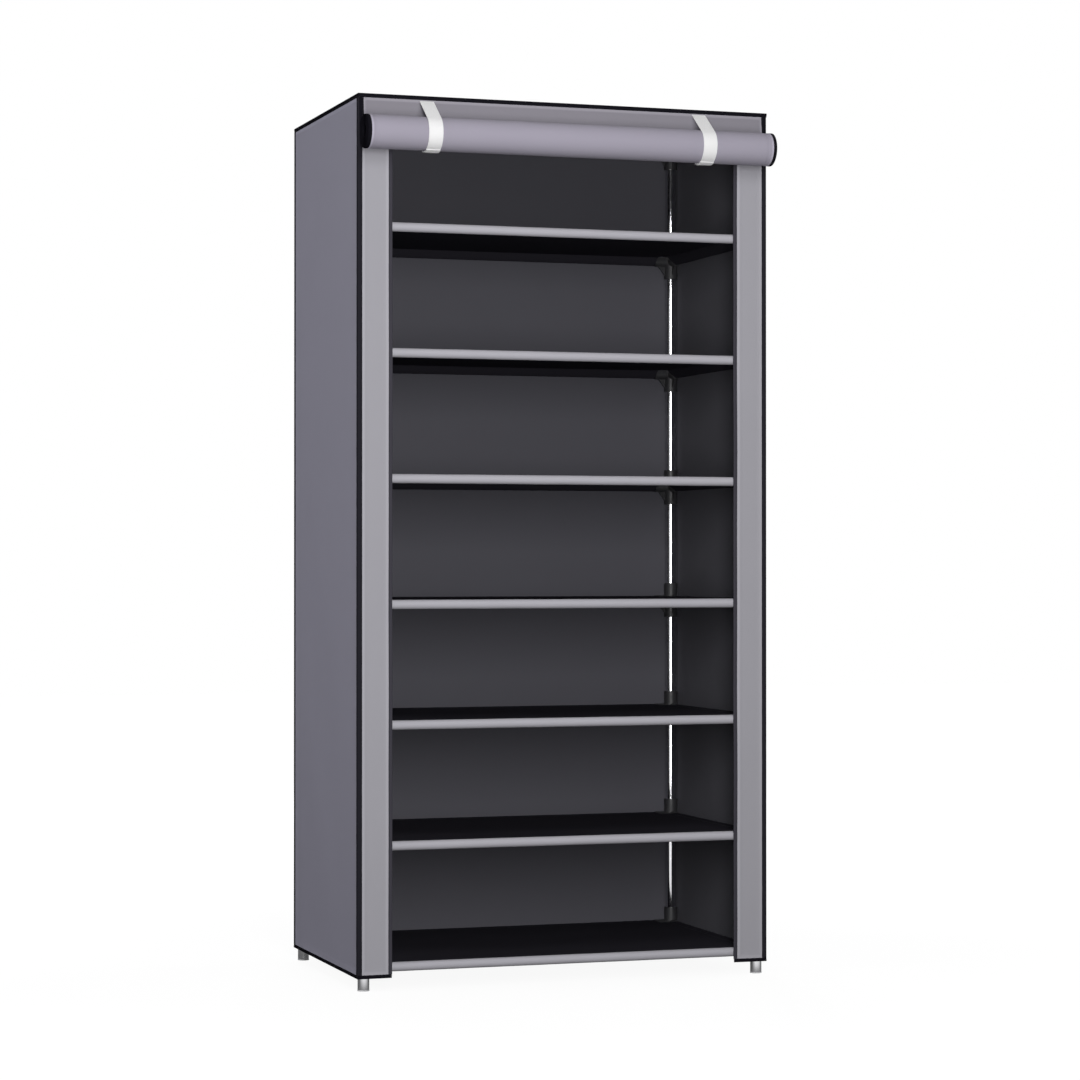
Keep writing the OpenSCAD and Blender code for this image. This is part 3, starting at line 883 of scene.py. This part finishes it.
def make_front_sleeve(name, z):
    """The grey sleeve round a front tube, with its seam at the back and faint creases."""
    turns = np.radians(np.linspace(0, 360, 37)[:-1] + 40)
    xs = spread(-SLEEVE_HALF, SLEEVE_HALF, SLEEVE_STEP, edge=SLEEVE_LINES)
    rows = []
    for x in xs:
        end = SLEEVE_HALF - abs(x)
        radius = SLEEVE_R - SLEEVE_TIGHT + SLEEVE_TIGHT * hill(end, 0.0, 5 * MM)
        crease = SLEEVE_CREASE * ripple(turns * 0.02, np.full_like(turns, x), name, 0.05, 0.09)
        seam = SLEEVE_SEAM * hill(np.degrees(turns), SLEEVE_SEAM_AT, 12.0)
        around = radius + crease + seam
        rows.append(np.stack([np.full_like(turns, x), RAIL_FRONT - around * np.cos(turns),
                              z + around * np.sin(turns)], axis=-1))
    facing = rows[0][0] - np.array([xs[0], RAIL_FRONT, z])
    return thicken(loft(name, rows, loop=True, facing=facing), "sleeve_cloth", "lining_cloth")


class RACK_OT_make_shelves(bpy.types.Operator):
    """Make each shelf's black cloth with its hems, and the grey sleeve along its front"""

    bl_idname = "rack.make_shelves"
    bl_label = "Make Shelves"

    def execute(self, context):
        for level in range(SHELVES):
            name = f"shelf_{level + 1}"
            rails = f"level_{level + 1}_long_rails"
            self.make_sheet(name, level, rails)
            self.make_sleeve(name, level, rails)
        return {"FINISHED"}

    def make_sheet(self, name, level, rails):
        """The shelf's black cloth: its deck, and the hems round the rear tube and the side tubes."""
        z = LEVELS[level]
        parts = [make_deck(level)]
        back = [np.array([x, RAIL_BACK, z]) for x in (-SLEEVE_HALF, SLEEVE_HALF)]
        parts.append(wrap_hem(*back, -Y))
        for side in SIDES:
            ends = [np.array([side * RAIL_SIDE, y, z]) for y in (NOTCH_FRONT, NOTCH_BACK)]
            parts.append(wrap_hem(*ends, -side * X))
        cloth = carry(join(f"{name}_cloth", parts), "rack", "shelf_cloth", f"{name}_sheet")

    def make_sleeve(self, name, level, rails):
        sleeve = make_front_sleeve(f"{name}_sleeve", LEVELS[level])
        carry(sleeve, "rack", "front_cloth", f"{name}_front_sleeve")


# Curtain

# The hanging part ends at the roll's axis, and bulges most this far above it
HANGING_END = ROLL_Z + 0.3 * MM
HANGING_LINES = 28
BULGE_ABOVE = 19 * MM
BULGE_HEIGHT = 14 * MM
CURTAIN_STEP = 15 * MM
EDGE_TAPE_W = CURTAIN_HALF - CLOTH_HALF
EDGE_TAPE_ENDS = (ROLL_Z + 4.5 * MM, COVER_TOP - 1 * MM)
ROLL_STEP = 13 * MM
ROLL_CLEARANCE = 0.5 * MM
# A crease runs round the roll this far in from the ends of its cloth
ROLL_CREASE_IN = 7 * MM
ROLL_CREASE = 0.5 * MM
# The cloth is wound from the outside to this radius, with its bound lower edge innermost
CORE_R = 8 * MM
HEM_W = TAPE_W
OUTER_LINE_R = ROLL_R - CLOTH / 2
ROLLED = ROLL_Z - COVER_BOTTOM - HEM_W
ROLL_TURNS = ROLLED / (math.pi * (OUTER_LINE_R + CORE_R))
TURN_PITCH = (OUTER_LINE_R - CORE_R) / ROLL_TURNS
# Angles round the roll from its back, where the cloth comes down, to the core
WOUND = np.linspace(0, math.tau * ROLL_TURNS, 470)


def roll_dent(x, turned):
    """How far the roll is pressed in at a place along it and round it."""
    cloth = settings().cloth
    bite = sum(hill(x, place, STRAP_W * 0.9) for place in STRAP_X.values()) * cloth.strap_bite
    dents = 0.5 + 0.5 * ripple(x, 0.03 * np.sin(turned), "roll", 0.19, 0.11)
    crease = ROLL_CREASE * hill(CLOTH_HALF - np.abs(x), ROLL_CREASE_IN, 3 * MM)
    return bite + cloth.roll_dent * dents + crease


def slack_reach(z):
    """How far the slack cloth above the roll stands forward of its plane, down onto the roll's back."""
    above = z - ROLL_Z
    bulge = settings().cloth.curtain_slack * np.exp(-((above - BULGE_ABOVE) / BULGE_HEIGHT) ** 2)
    inside = np.sqrt(np.maximum(0.0, (ROLL_R - TURN_PITCH) ** 2 - np.minimum(above, ROLL_R) ** 2))
    room = np.where(above < ROLL_R - TURN_PITCH, ROLL_R - CLOTH - inside - ROLL_CLEARANCE, 1.0)
    return np.maximum(0.0, np.minimum(bulge, room))


def wound_line(x, turned, offset, dents=0.0):
    """The wound cloth's line in a plane across the roll, offset from the middle of the cloth, where
    turned counts the radians wound so far, and dents presses the outermost turn in most."""
    line = OUTER_LINE_R - TURN_PITCH * turned / math.tau
    radius = line + offset - dents * line / OUTER_LINE_R
    return np.stack([np.full_like(turned, x), ROLL_Y + radius * np.cos(turned),
                     ROLL_Z - radius * np.sin(turned)], axis=-1)


def stretch(piece, slot, *nodes):
    """Bakes a hanging piece's place into its mesh and hides the CAD nodes that it stands for."""
    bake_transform(piece)
    return label(piece, slot, *nodes)


def flatten(piece, slot, *nodes):
    """Puts a rolled piece on the curtain and gives it its own mesh."""
    carry(piece, "curtain", slot, *nodes)
    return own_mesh(piece)


class RACK_OT_make_curtain(bpy.types.Operator):
    """Make the hanging top of the curtain, its roll, and their bound edges"""

    bl_idname = "rack.make_curtain"
    bl_label = "Make Curtain"

    def execute(self, context):
        self.make_hanging_part()
        self.bind_hanging_part()
        self.make_roll()
        self.bind_roll()
        self.bind_lower_edge()
        return {"FINISHED"}

    def make_hanging_part(self):
        xs = spread(-CLOTH_HALF, CLOTH_HALF, CURTAIN_STEP)
        x, z = np.meshgrid(xs, np.linspace(HANGING_END, COVER_TOP, HANGING_LINES))
        y = CURTAIN_FRONT - slack_reach(z) * (1 + 0.12 * ripple(x, z, "slack", 0.16, 0.5))
        seam = np.minimum(COVER_TOP - z, CLOTH_HALF - np.abs(x) + TAPE_W)
        sheet = loft("curtain_top_cloth", np.stack([x, y, z], axis=-1), facing=-Y, seam=seam)
        # The outer face takes the darker grey of painted shade
        thicken(sheet, "shaded_curtain_face", "curtain_cloth")
        stretch(sheet, "front_cloth", "curtain_top")

    def bind_hanging_part(self):
        """The bound side edges, whose front leg is thinner and shorter than on the cover's tapes."""
        heights = np.linspace(*EDGE_TAPE_ENDS, HANGING_LINES)
        section = [(a * 0.4, b * 0.5) if a > 0 else (a, b)
                   for a, b in edge_section(EDGE_TAPE_W, EDGE_TAPE_W, FOLDED_IN)]
        tapes = []
        for side in SIDES:
            x = side * (CURTAIN_HALF - TAPE / 2)
            stations = [(np.array([x, CURTAIN_FRONT - slack_reach(z), z]), -Y, side * X) for z in heights]
            tapes.append(sweep("edge", stations, section, "black_tape"))
        stretch(join("curtain_top_tapes", tapes), "binding_tape", "curtain_top_bindings")

    def make_roll(self):
        xs = spread(-CLOTH_HALF, CLOTH_HALF, ROLL_STEP)
        rows = [wound_line(x, WOUND, CLOTH / 2, roll_dent(x, WOUND)) for x in xs]
        seam = np.repeat((CLOTH_HALF - np.abs(xs) + TAPE_W)[:, None], len(WOUND), axis=1)
        roll = loft("curtain_roll_cloth", rows, facing=Y, seam=seam)
        flatten(thicken(roll, "curtain_cloth", "shaded_curtain_face"), "front_cloth", "curtain_roll")

    def bind_roll(self):
        """The bound side edges, wound into a disc at each end of the roll."""
        thick = 0.9 * TURN_PITCH
        shares = ((0.0, 0.08), (0.0, 0.92), (0.35, 1.0), (0.8, 1.0), (0.95, 0.85), (1.0, 0.5), (0.95, 0.15),
                  (0.8, 0.0), (0.35, 0.0))
        tapes = []
        for side in SIDES:
            lines = [wound_line(side * (CLOTH_HALF + EDGE_TAPE_W * a), WOUND, thick * (b - 0.5) - 0.2 * MM)
                     for a, b in shares]
            disc = loft("end", np.stack(lines, axis=1), loop=True, capped=True)
            tapes.append(settle(dress(disc, "black_tape")))
        flatten(join("curtain_roll_tapes", tapes), "binding_tape", "curtain_roll_bindings")

    def bind_lower_edge(self):
        """The binding on the cloth's lower edge, wound round the core."""
        start = WOUND[-1] + 0.02
        turned = np.linspace(start, start + HEM_W / CORE_R, 14)
        rows = [wound_line(x, turned, CLOTH / 2) for x in np.linspace(-CLOTH_HALF, CLOTH_HALF, 30)]
        hem = loft("curtain_hem_tape", rows, facing=rows[0][0] - np.array([-CLOTH_HALF, ROLL_Y, ROLL_Z]))
        flatten(thicken(hem, "black_tape", "black_tape"), "binding_tape", "curtain_hem")


# Straps

STRAP_STEP = 4 * MM
# Angles in degrees, counted from the back of the roll over its top
STRAP_TURN = 4.0
UNDER = 270.0
PAD_REACH = 25.0


def arc_points(start, end, radius):
    """Points round the roll's axis, in the Y-Z plane, between two angles in degrees."""
    count = max(2, round(abs(end - start) / STRAP_TURN))
    turns = np.radians(np.linspace(start, end, count + 1))
    return np.stack([ROLL_Y + radius * np.cos(turns), ROLL_Z + radius * np.sin(turns)], axis=-1)


def straight_points(start, end):
    """Points of the Y-Z plane from a start to just before an end."""
    count = max(1, round(float(np.linalg.norm(np.subtract(end, start))) / STRAP_STEP))
    return np.linspace(start, end, count + 1)[:-1]


def make_strap(name, side, path, facing):
    """A strap along a path of Y-Z points, a little thinner at its woven edges. facing is where the
    face at its start looks, along y and z."""
    shares = np.array([-1.0, -0.96, -0.85, -0.5, 0.0, 0.5, 0.85, 0.96, 1.0])
    thinned = 0.12 * MM * np.maximum(0.0, np.abs(shares) - 0.8) * 5
    tangents = np.gradient(path, axis=0)
    normals = np.stack([-tangents[:, 1], tangents[:, 0]], axis=-1)
    normals /= np.linalg.norm(normals, axis=1)[:, None]
    if normals[0] @ facing < 0:
        normals = -normals
    xs = STRAP_X[side] + shares * STRAP_W / 2
    rows = [[[x, *(point - normal * thin)] for x, thin in zip(xs, thinned)]
            for point, normal in zip(path, normals)]
    return thicken(loft(name, rows, facing=(0.0, *normals[0])), "white_webbing", "white_webbing")


class RACK_OT_make_straps(bpy.types.Operator):
    """Make the two straps that hold the roll, each a front half, a back half and a fastening pad"""

    bl_idname = "rack.make_straps"
    bl_label = "Make Straps"

    def execute(self, context):
        start = (STRAP_FRONT, STRAP_TOP)
        away = np.subtract(start, (ROLL_Y, ROLL_Z))
        meet = math.degrees(math.acos(STRAP_R / np.linalg.norm(away)) + math.atan2(away[1], away[0]))
        around = arc_points(meet, UNDER - 1, STRAP_R)
        front = np.concatenate([straight_points(start, around[0]), around])
        around = arc_points(360.0, UNDER + 1, STRAP_R)
        back = np.concatenate([straight_points((ROLL_Y + STRAP_R, COVER_TOP), around[0]), around])
        pad = arc_points(UNDER - PAD_REACH, UNDER + PAD_REACH, PAD_R)
        for side, word in zip(SIDES, ("left", "right")):
            self.place(f"strap_front_{word}", side, front, (-1, 0), "strap_fronts", CURTAIN_FRONT)
            self.place(f"strap_back_{word}", side, back, (1, 0), "strap_backs", COVER_FRONT)
            self.place(f"strap_pad_{word}", side, pad, (0, -1), "strap_pads", COVER_FRONT)
        return {"FINISHED"}

    def place(self, name, side, path, facing, node, anchor_y):
        """Makes a strap and puts it on the rack with its own mesh; anchor_y is not used."""
        strap = make_strap(name, side, path, facing)
        carry(strap, "rack", "strap_webbing", node)
        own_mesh(strap)


# Stitches

# How far inside its tubes' axes a deck's seam runs, and how far out of the cloth the thread stands
DECK_SEAM = 13 * MM
DECK_FRONT_SEAM = 5.5 * MM
ON_CLOTH = 0.05 * MM
# How far in from its edge the seam in the curtain's cloth runs
CURTAIN_SEAM = 4 * MM


def stitch_rows():
    """A node tree that sews stitches along the edges of a mesh."""
    tree = bpy.data.node_groups.new("stitch_rows", "GeometryNodeTree")
    for name, kind in (("Rows", "NodeSocketGeometry"), ("Pitch", "NodeSocketFloat"),
                       ("Stitch Length", "NodeSocketFloat"), ("Thread Radius", "NodeSocketFloat"),
                       ("Thread", "NodeSocketMaterial")):
        tree.interface.new_socket(name, in_out="INPUT", socket_type=kind)
    tree.interface.new_socket("Stitches", in_out="OUTPUT", socket_type="NodeSocketGeometry")
    given = tree.nodes.new("NodeGroupInput").outputs
    row = add(tree, "GeometryNodeMeshToCurve", {"Mesh": given["Rows"]}).outputs["Curve"]
    holes = add(tree, "GeometryNodeCurveToPoints", {"Curve": row, "Length": given["Pitch"]}, mode="LENGTH")
    ball = add(tree, "GeometryNodeMeshUVSphere", {"Segments": 6, "Rings": 4, "Radius": 1.0}).outputs["Mesh"]
    half = times(tree, given["Stitch Length"], 0.5)
    size = add(tree, "ShaderNodeCombineXYZ",
               {"X": given["Thread Radius"], "Y": given["Thread Radius"], "Z": half}).outputs[0]
    stitch = add(tree, "GeometryNodeTransform", {"Geometry": ball, "Scale": size}).outputs["Geometry"]
    turn = add(tree, "FunctionNodeAlignRotationToVector", {"Vector": holes.outputs["Tangent"]}, axis="Z")
    sewn = add(tree, "GeometryNodeInstanceOnPoints",
               {"Points": holes.outputs["Points"], "Instance": stitch, "Rotation": turn.outputs["Rotation"]})
    real = add(tree, "GeometryNodeRealizeInstances", {"Geometry": sewn.outputs["Instances"]})
    done = add(tree, "GeometryNodeSetMaterial",
               {"Geometry": real.outputs["Geometry"], "Material": given["Thread"]})
    tree.links.new(done.outputs["Geometry"], tree.nodes.new("NodeGroupOutput").inputs[0])
    return tree


def sew(name, rows, thread):
    """Sews stitches along rows of points, each row one seam."""
    sizes = settings().stitches
    points, edges = [], []
    for row in rows:
        first = len(points)
        points += [list(point) for point in row]
        edges += [(first + i, first + i + 1) for i in range(len(row) - 1)]
    mesh = bpy.data.meshes.new(name)
    mesh.from_pydata(points, edges, [])
    piece = bpy.data.objects.new(name, mesh)
    bpy.context.scene.collection.objects.link(piece)
    tree = bpy.data.node_groups.get("stitch_rows") or stitch_rows()
    machine = piece.modifiers.new("stitches", "NODES")
    machine.node_group = tree
    values = {"Pitch": sizes.pitch, "Stitch Length": sizes.stitch, "Thread Radius": sizes.thread,
              "Thread": bpy.data.materials[thread]}
    for item in tree.interface.items_tree:
        if item.name in values:
            machine[item.identifier] = values[item.name]
    return settle(piece, sharp=180.0)


class RACK_OT_sew_seams(bpy.types.Operator):
    """Sew the stitches along the tapes, shelves and curtain edges"""

    bl_idname = "rack.sew_seams"
    bl_label = "Sew Seams"

    def execute(self, context):
        self.sew_cover()
        self.sew_flaps()
        self.sew_shelves()
        self.sew_curtain()
        return {"FINISHED"}

    def sew_cover(self):
        """Both legs of the roof's tape, then of the corner tapes, and the bottom tape's outer leg."""
        out, inset = STITCH_OUT, STITCH_LINE * TAPE_W
        rows = []
        for z, away in ((COVER_TOP - STITCH_LINE * ROOF_LEG, out), (COVER_TOP + out, -inset)):
            loop = cover_loop(CURTAIN_FRONT, z)
            corners = [point + direction * away for point, direction in zip(loop, mitred(loop, ring=True))]
            rows.append([*corners, corners[0]])
        ends = (COVER_BOTTOM + BOTTOM_LEG, COVER_TOP - ROOF_LEG)
        for side in SIDES:
            for y, way in ((COVER_FRONT, -1), (COVER_BACK, 1)):
                for at_x, at_y in ((COVER_HALF + out, y - way * inset), (COVER_HALF - inset, y + way * out)):
                    rows.append([(side * at_x, at_y, z) for z in ends])
        x, front, back = COVER_HALF + out, COVER_FRONT - out, COVER_BACK + out
        path = ((-x, front), (-x, back), (x, back), (x, front))
        rows.append([(*at, COVER_BOTTOM + STITCH_LINE * BOTTOM_LEG) for at in path])
        carry(sew("cover_stitches", rows, "black_thread"), "rack", "binding_tape")

    def sew_flaps(self):
        """The tape on each flap's free edge, and the bottom tape below the flap."""
        heights = np.linspace(COVER_BOTTOM + BOTTOM_LEG, COVER_TOP - TAPE_W, 90)
        low_z = COVER_BOTTOM + STITCH_LINE * BOTTOM_LEG
        front = COVER_FRONT - STITCH_OUT
        rows = []
        for side in SIDES:
            x = side * (FLAP_EDGE + STITCH_LINE * FLAP_TAPE_W)
            rows.append([(x, front + flap_wave(x, z), z) for z in heights])
            rows.append([(side * at, front + flap_wave(at, COVER_BOTTOM), low_z)
                         for at in np.linspace(FLAP_EDGE, COVER_HALF - TAPE_W, 6)])
        carry(sew("flap_stitches", rows, "black_thread"), "rack", "binding_tape")

    def sew_shelves(self):
        """The hems' seams on each deck: front, back and sides."""
        xs = np.linspace(-SLEEVE_HALF, SLEEVE_HALF, 40)
        ys = np.linspace(NOTCH_FRONT, NOTCH_BACK, 24)
        rows = []
        for level in range(SHELVES):
            seams = [[(x, y) for x in xs] for y in (RAIL_FRONT + DECK_FRONT_SEAM, RAIL_BACK - DECK_SEAM)]
            seams += [[(side * (RAIL_SIDE - DECK_SEAM), y) for y in ys] for side in SIDES]
            rows += [[(x, y, float(deck_z(x, y, level)) + ON_CLOTH) for x, y in seam] for seam in seams]
        carry(sew("shelf_stitches", rows, "black_thread"), "rack", "shelf_cloth")

    def sew_curtain(self):
        """Two rows along each side edge: one in the tape, and one in the cloth beside it."""
        around = np.linspace(0.0, 1.8 * math.pi, 60)
        heights = np.linspace(ROLL_Z + 3 * MM, COVER_TOP - TAPE_W, 20)
        for place, thread, word in ((CLOTH_HALF + 0.35 * EDGE_TAPE_W, "black_thread", "tape"),
                                    (CLOTH_HALF - CURTAIN_SEAM, "curtain_thread", "cloth")):
            xs = [side * place for side in SIDES]
            wound = [wound_line(x, around, CLOTH / 2 + ON_CLOTH, roll_dent(x, around)) for x in xs]
            flatten(sew(f"roll_{word}_stitches", wound, thread), "binding_tape")
            hung = [[(x, CURTAIN_FRONT - slack_reach(z) - 2 * ON_CLOTH, z) for z in heights] for x in xs]
            stretch(sew(f"hanging_{word}_stitches", hung, thread), "binding_tape")


# Stage

# The camera's place, its turn to the right and upwards in degrees, and its lens in millimetres
CAMERA_PLACE = (-1.361, -4.11625, 0.584)
CAMERA_YAW = 18.46
CAMERA_PITCH = 0.43
CAMERA_LENS = 100.27
CAMERA_SENSOR = 36.0
FLOOR_HALF = 9.0
FLOOR_GREY = (0.1, 0.1, 0.1, 1.0)


def aim(thing, place, target):
    """Puts a lamp or camera in the scene at its place, looking at a target."""
    thing.location = place
    thing.rotation_mode = "QUATERNION"
    thing.rotation_quaternion = (Vector(target) - Vector(place)).to_track_quat("-Z", "Y")
    bpy.context.scene.collection.objects.link(thing)
    return thing


def make_lamp(name, place, target, wide, tall, amount):
    """A large soft lamp that lights a face turned to it at its target by the given share."""
    light = bpy.data.lights.new(name, "AREA")
    light.shape = "RECTANGLE"
    light.size = wide
    light.size_y = tall
    light.energy = amount * (math.pi * (Vector(target) - Vector(place)).length) ** 2
    return aim(bpy.data.objects.new(name, light), place, target)


class RACK_OT_set_stage(bpy.types.Operator):
    """Set the white floor, the room light, the lamps and the camera"""

    bl_idname = "rack.set_stage"
    bl_label = "Set Stage"

    def execute(self, context):
        self.set_room()
        self.set_floor()
        self.set_lamps()
        self.set_camera()
        bpy.context.scene.view_settings.view_transform = "Standard"
        return {"FINISHED"}

    def seen_directly(self, tree):
        """Two numbers: one is 1 for what the camera sees, the other for what shows in metal or glass."""
        path = add(tree, "ShaderNodeLightPath").outputs
        mirrored = worked(tree, "MAXIMUM", path["Is Glossy Ray"], path["Is Transmission Ray"])
        return path["Is Camera Ray"], mirrored

    def set_room(self):
        """A room that lights the rack evenly and dimly, and is white for the camera and in metal."""
        world = bpy.data.worlds.new("room")
        world.use_nodes = True
        bpy.context.scene.world = world
        tree = world.node_tree
        light = tree.nodes["Background"]
        light.inputs["Color"].default_value = WHITE
        light.inputs["Strength"].default_value = settings().stage.ambient
        backdrop = add(tree, "ShaderNodeBackground", {"Color": WHITE, "Strength": 1.0})
        seen = worked(tree, "MAXIMUM", *self.seen_directly(tree))
        mix = add(tree, "ShaderNodeMixShader", {0: seen, 1: light.outputs[0], 2: backdrop.outputs[0]})
        tree.links.new(mix.outputs[0], tree.nodes["World Output"].inputs["Surface"])

    def set_floor(self):
        """A matt floor that glows for the camera and in metal, and keeps the rack's shadow."""
        rows = [[(x * FLOOR_HALF, y * FLOOR_HALF, 0.0) for x in SIDES] for y in SIDES]
        floor = loft("floor", rows, facing=Z)
        material = bpy.data.materials.new("white_floor")
        material.use_nodes = True
        tree = material.node_tree
        tree.nodes.remove(tree.nodes["Principled BSDF"])
        matt = add(tree, "ShaderNodeBsdfDiffuse", {"Color": FLOOR_GREY})
        place = add(tree, "ShaderNodeTexCoord").outputs["Object"]
        away = add(tree, "ShaderNodeVectorMath", {0: place}, operation="LENGTH").outputs["Value"]
        depth = add(tree, "ShaderNodeSeparateXYZ", {"Vector": place}).outputs["Y"]
        seen, mirrored = self.seen_directly(tree)
        # The lamps' light on the floor makes up what the glow lacks near the rack
        white = times(tree, seen, ranged(tree, away, 0.5, 2.0, 0.93, 1.0))
        # Metal shows the floor white in front of the rack, and dark under it and behind it: a painted shadow
        # of the rack in the floor's reflection
        shaded = times(tree, mirrored, ranged(tree, depth, -0.30, -0.12, 1.0, 0.1))
        glow = add(tree, "ShaderNodeEmission", {"Color": WHITE, "Strength": plus(tree, white, shaded)})
        both = add(tree, "ShaderNodeAddShader", {0: matt.outputs[0], 1: glow.outputs[0]})
        tree.links.new(both.outputs[0], tree.nodes["Material Output"].inputs["Surface"])
        floor.data.materials.append(material)

    def set_lamps(self):
        stage = settings().stage
        middle_z = COVER_TOP / 2
        make_lamp("front_lamp", (-0.6, -2.5, 0.87), (0.0, COVER_FRONT, 0.8), 0.5, 1.6, stage.front)
        make_lamp("upper_lamp", (0.0, -1.6, 1.9), (0.0, COVER_FRONT, 1.1), 0.6, 0.6, stage.upper)
        make_lamp("left_lamp", (-3.0, -0.1, 1.9), (-COVER_HALF, 0.0, middle_z), 1.6, 1.6, stage.left)
        make_lamp("right_lamp", (3.2, 0.5, 1.4), (COVER_HALF, 0.0, middle_z), 1.6, 1.6, stage.right)
        make_lamp("back_lamp", (0.4, 3.2, 1.5), (0.0, COVER_BACK, middle_z), 1.6, 1.6, stage.back)

    def set_camera(self):
        """A camera a little to the left of the rack, at the height of its middle."""
        yaw, pitch = math.radians(CAMERA_YAW), math.radians(CAMERA_PITCH)
        forward = Vector((math.sin(yaw) * math.cos(pitch), math.cos(yaw) * math.cos(pitch), math.sin(pitch)))
        lens = bpy.data.cameras.new("camera")
        lens.sensor_width = CAMERA_SENSOR
        lens.lens = CAMERA_LENS
        camera = aim(bpy.data.objects.new("camera", lens), CAMERA_PLACE, Vector(CAMERA_PLACE) + forward)
        bpy.context.scene.camera = camera


class RACK_PT_panel(bpy.types.Panel):
    """Lists the rack's sizes, colours and building steps"""

    bl_idname = "RACK_PT_panel"
    bl_label = "Fabric Storage Rack"
    bl_space_type = "VIEW_3D"
    bl_region_type = "UI"
    bl_category = "Rack"

    def draw(self, context):
        layout = self.layout
        rack = context.scene.rack
        for group in (rack.finish, rack.cloth, rack.stitches, rack.stage):
            box = layout.box()
            for name in group.__annotations__:
                box.prop(group, name)
        for step in STEPS:
            layout.operator(step.bl_idname)


STEPS = (RACK_OT_mix_finishes, RACK_OT_make_cover, RACK_OT_make_tapes, RACK_OT_make_shelves,
         RACK_OT_make_curtain, RACK_OT_make_straps, RACK_OT_sew_seams, RACK_OT_set_stage)
CLASSES = (RackFinishSettings, RackClothSettings, RackStitchSettings, RackStageSettings, RackSettings,
           *STEPS, RACK_PT_panel)


def register():
    for made in CLASSES:
        bpy.utils.register_class(made)
    bpy.types.Scene.rack = PointerProperty(type=RackSettings)


def unregister():
    del bpy.types.Scene.rack
    for made in reversed(CLASSES):
        bpy.utils.unregister_class(made)


def main():
    register()
    for step in STEPS:
        prefix, name = step.bl_idname.split(".")
        getattr(getattr(bpy.ops, prefix), name)()


if __name__ == "__main__":
    main()
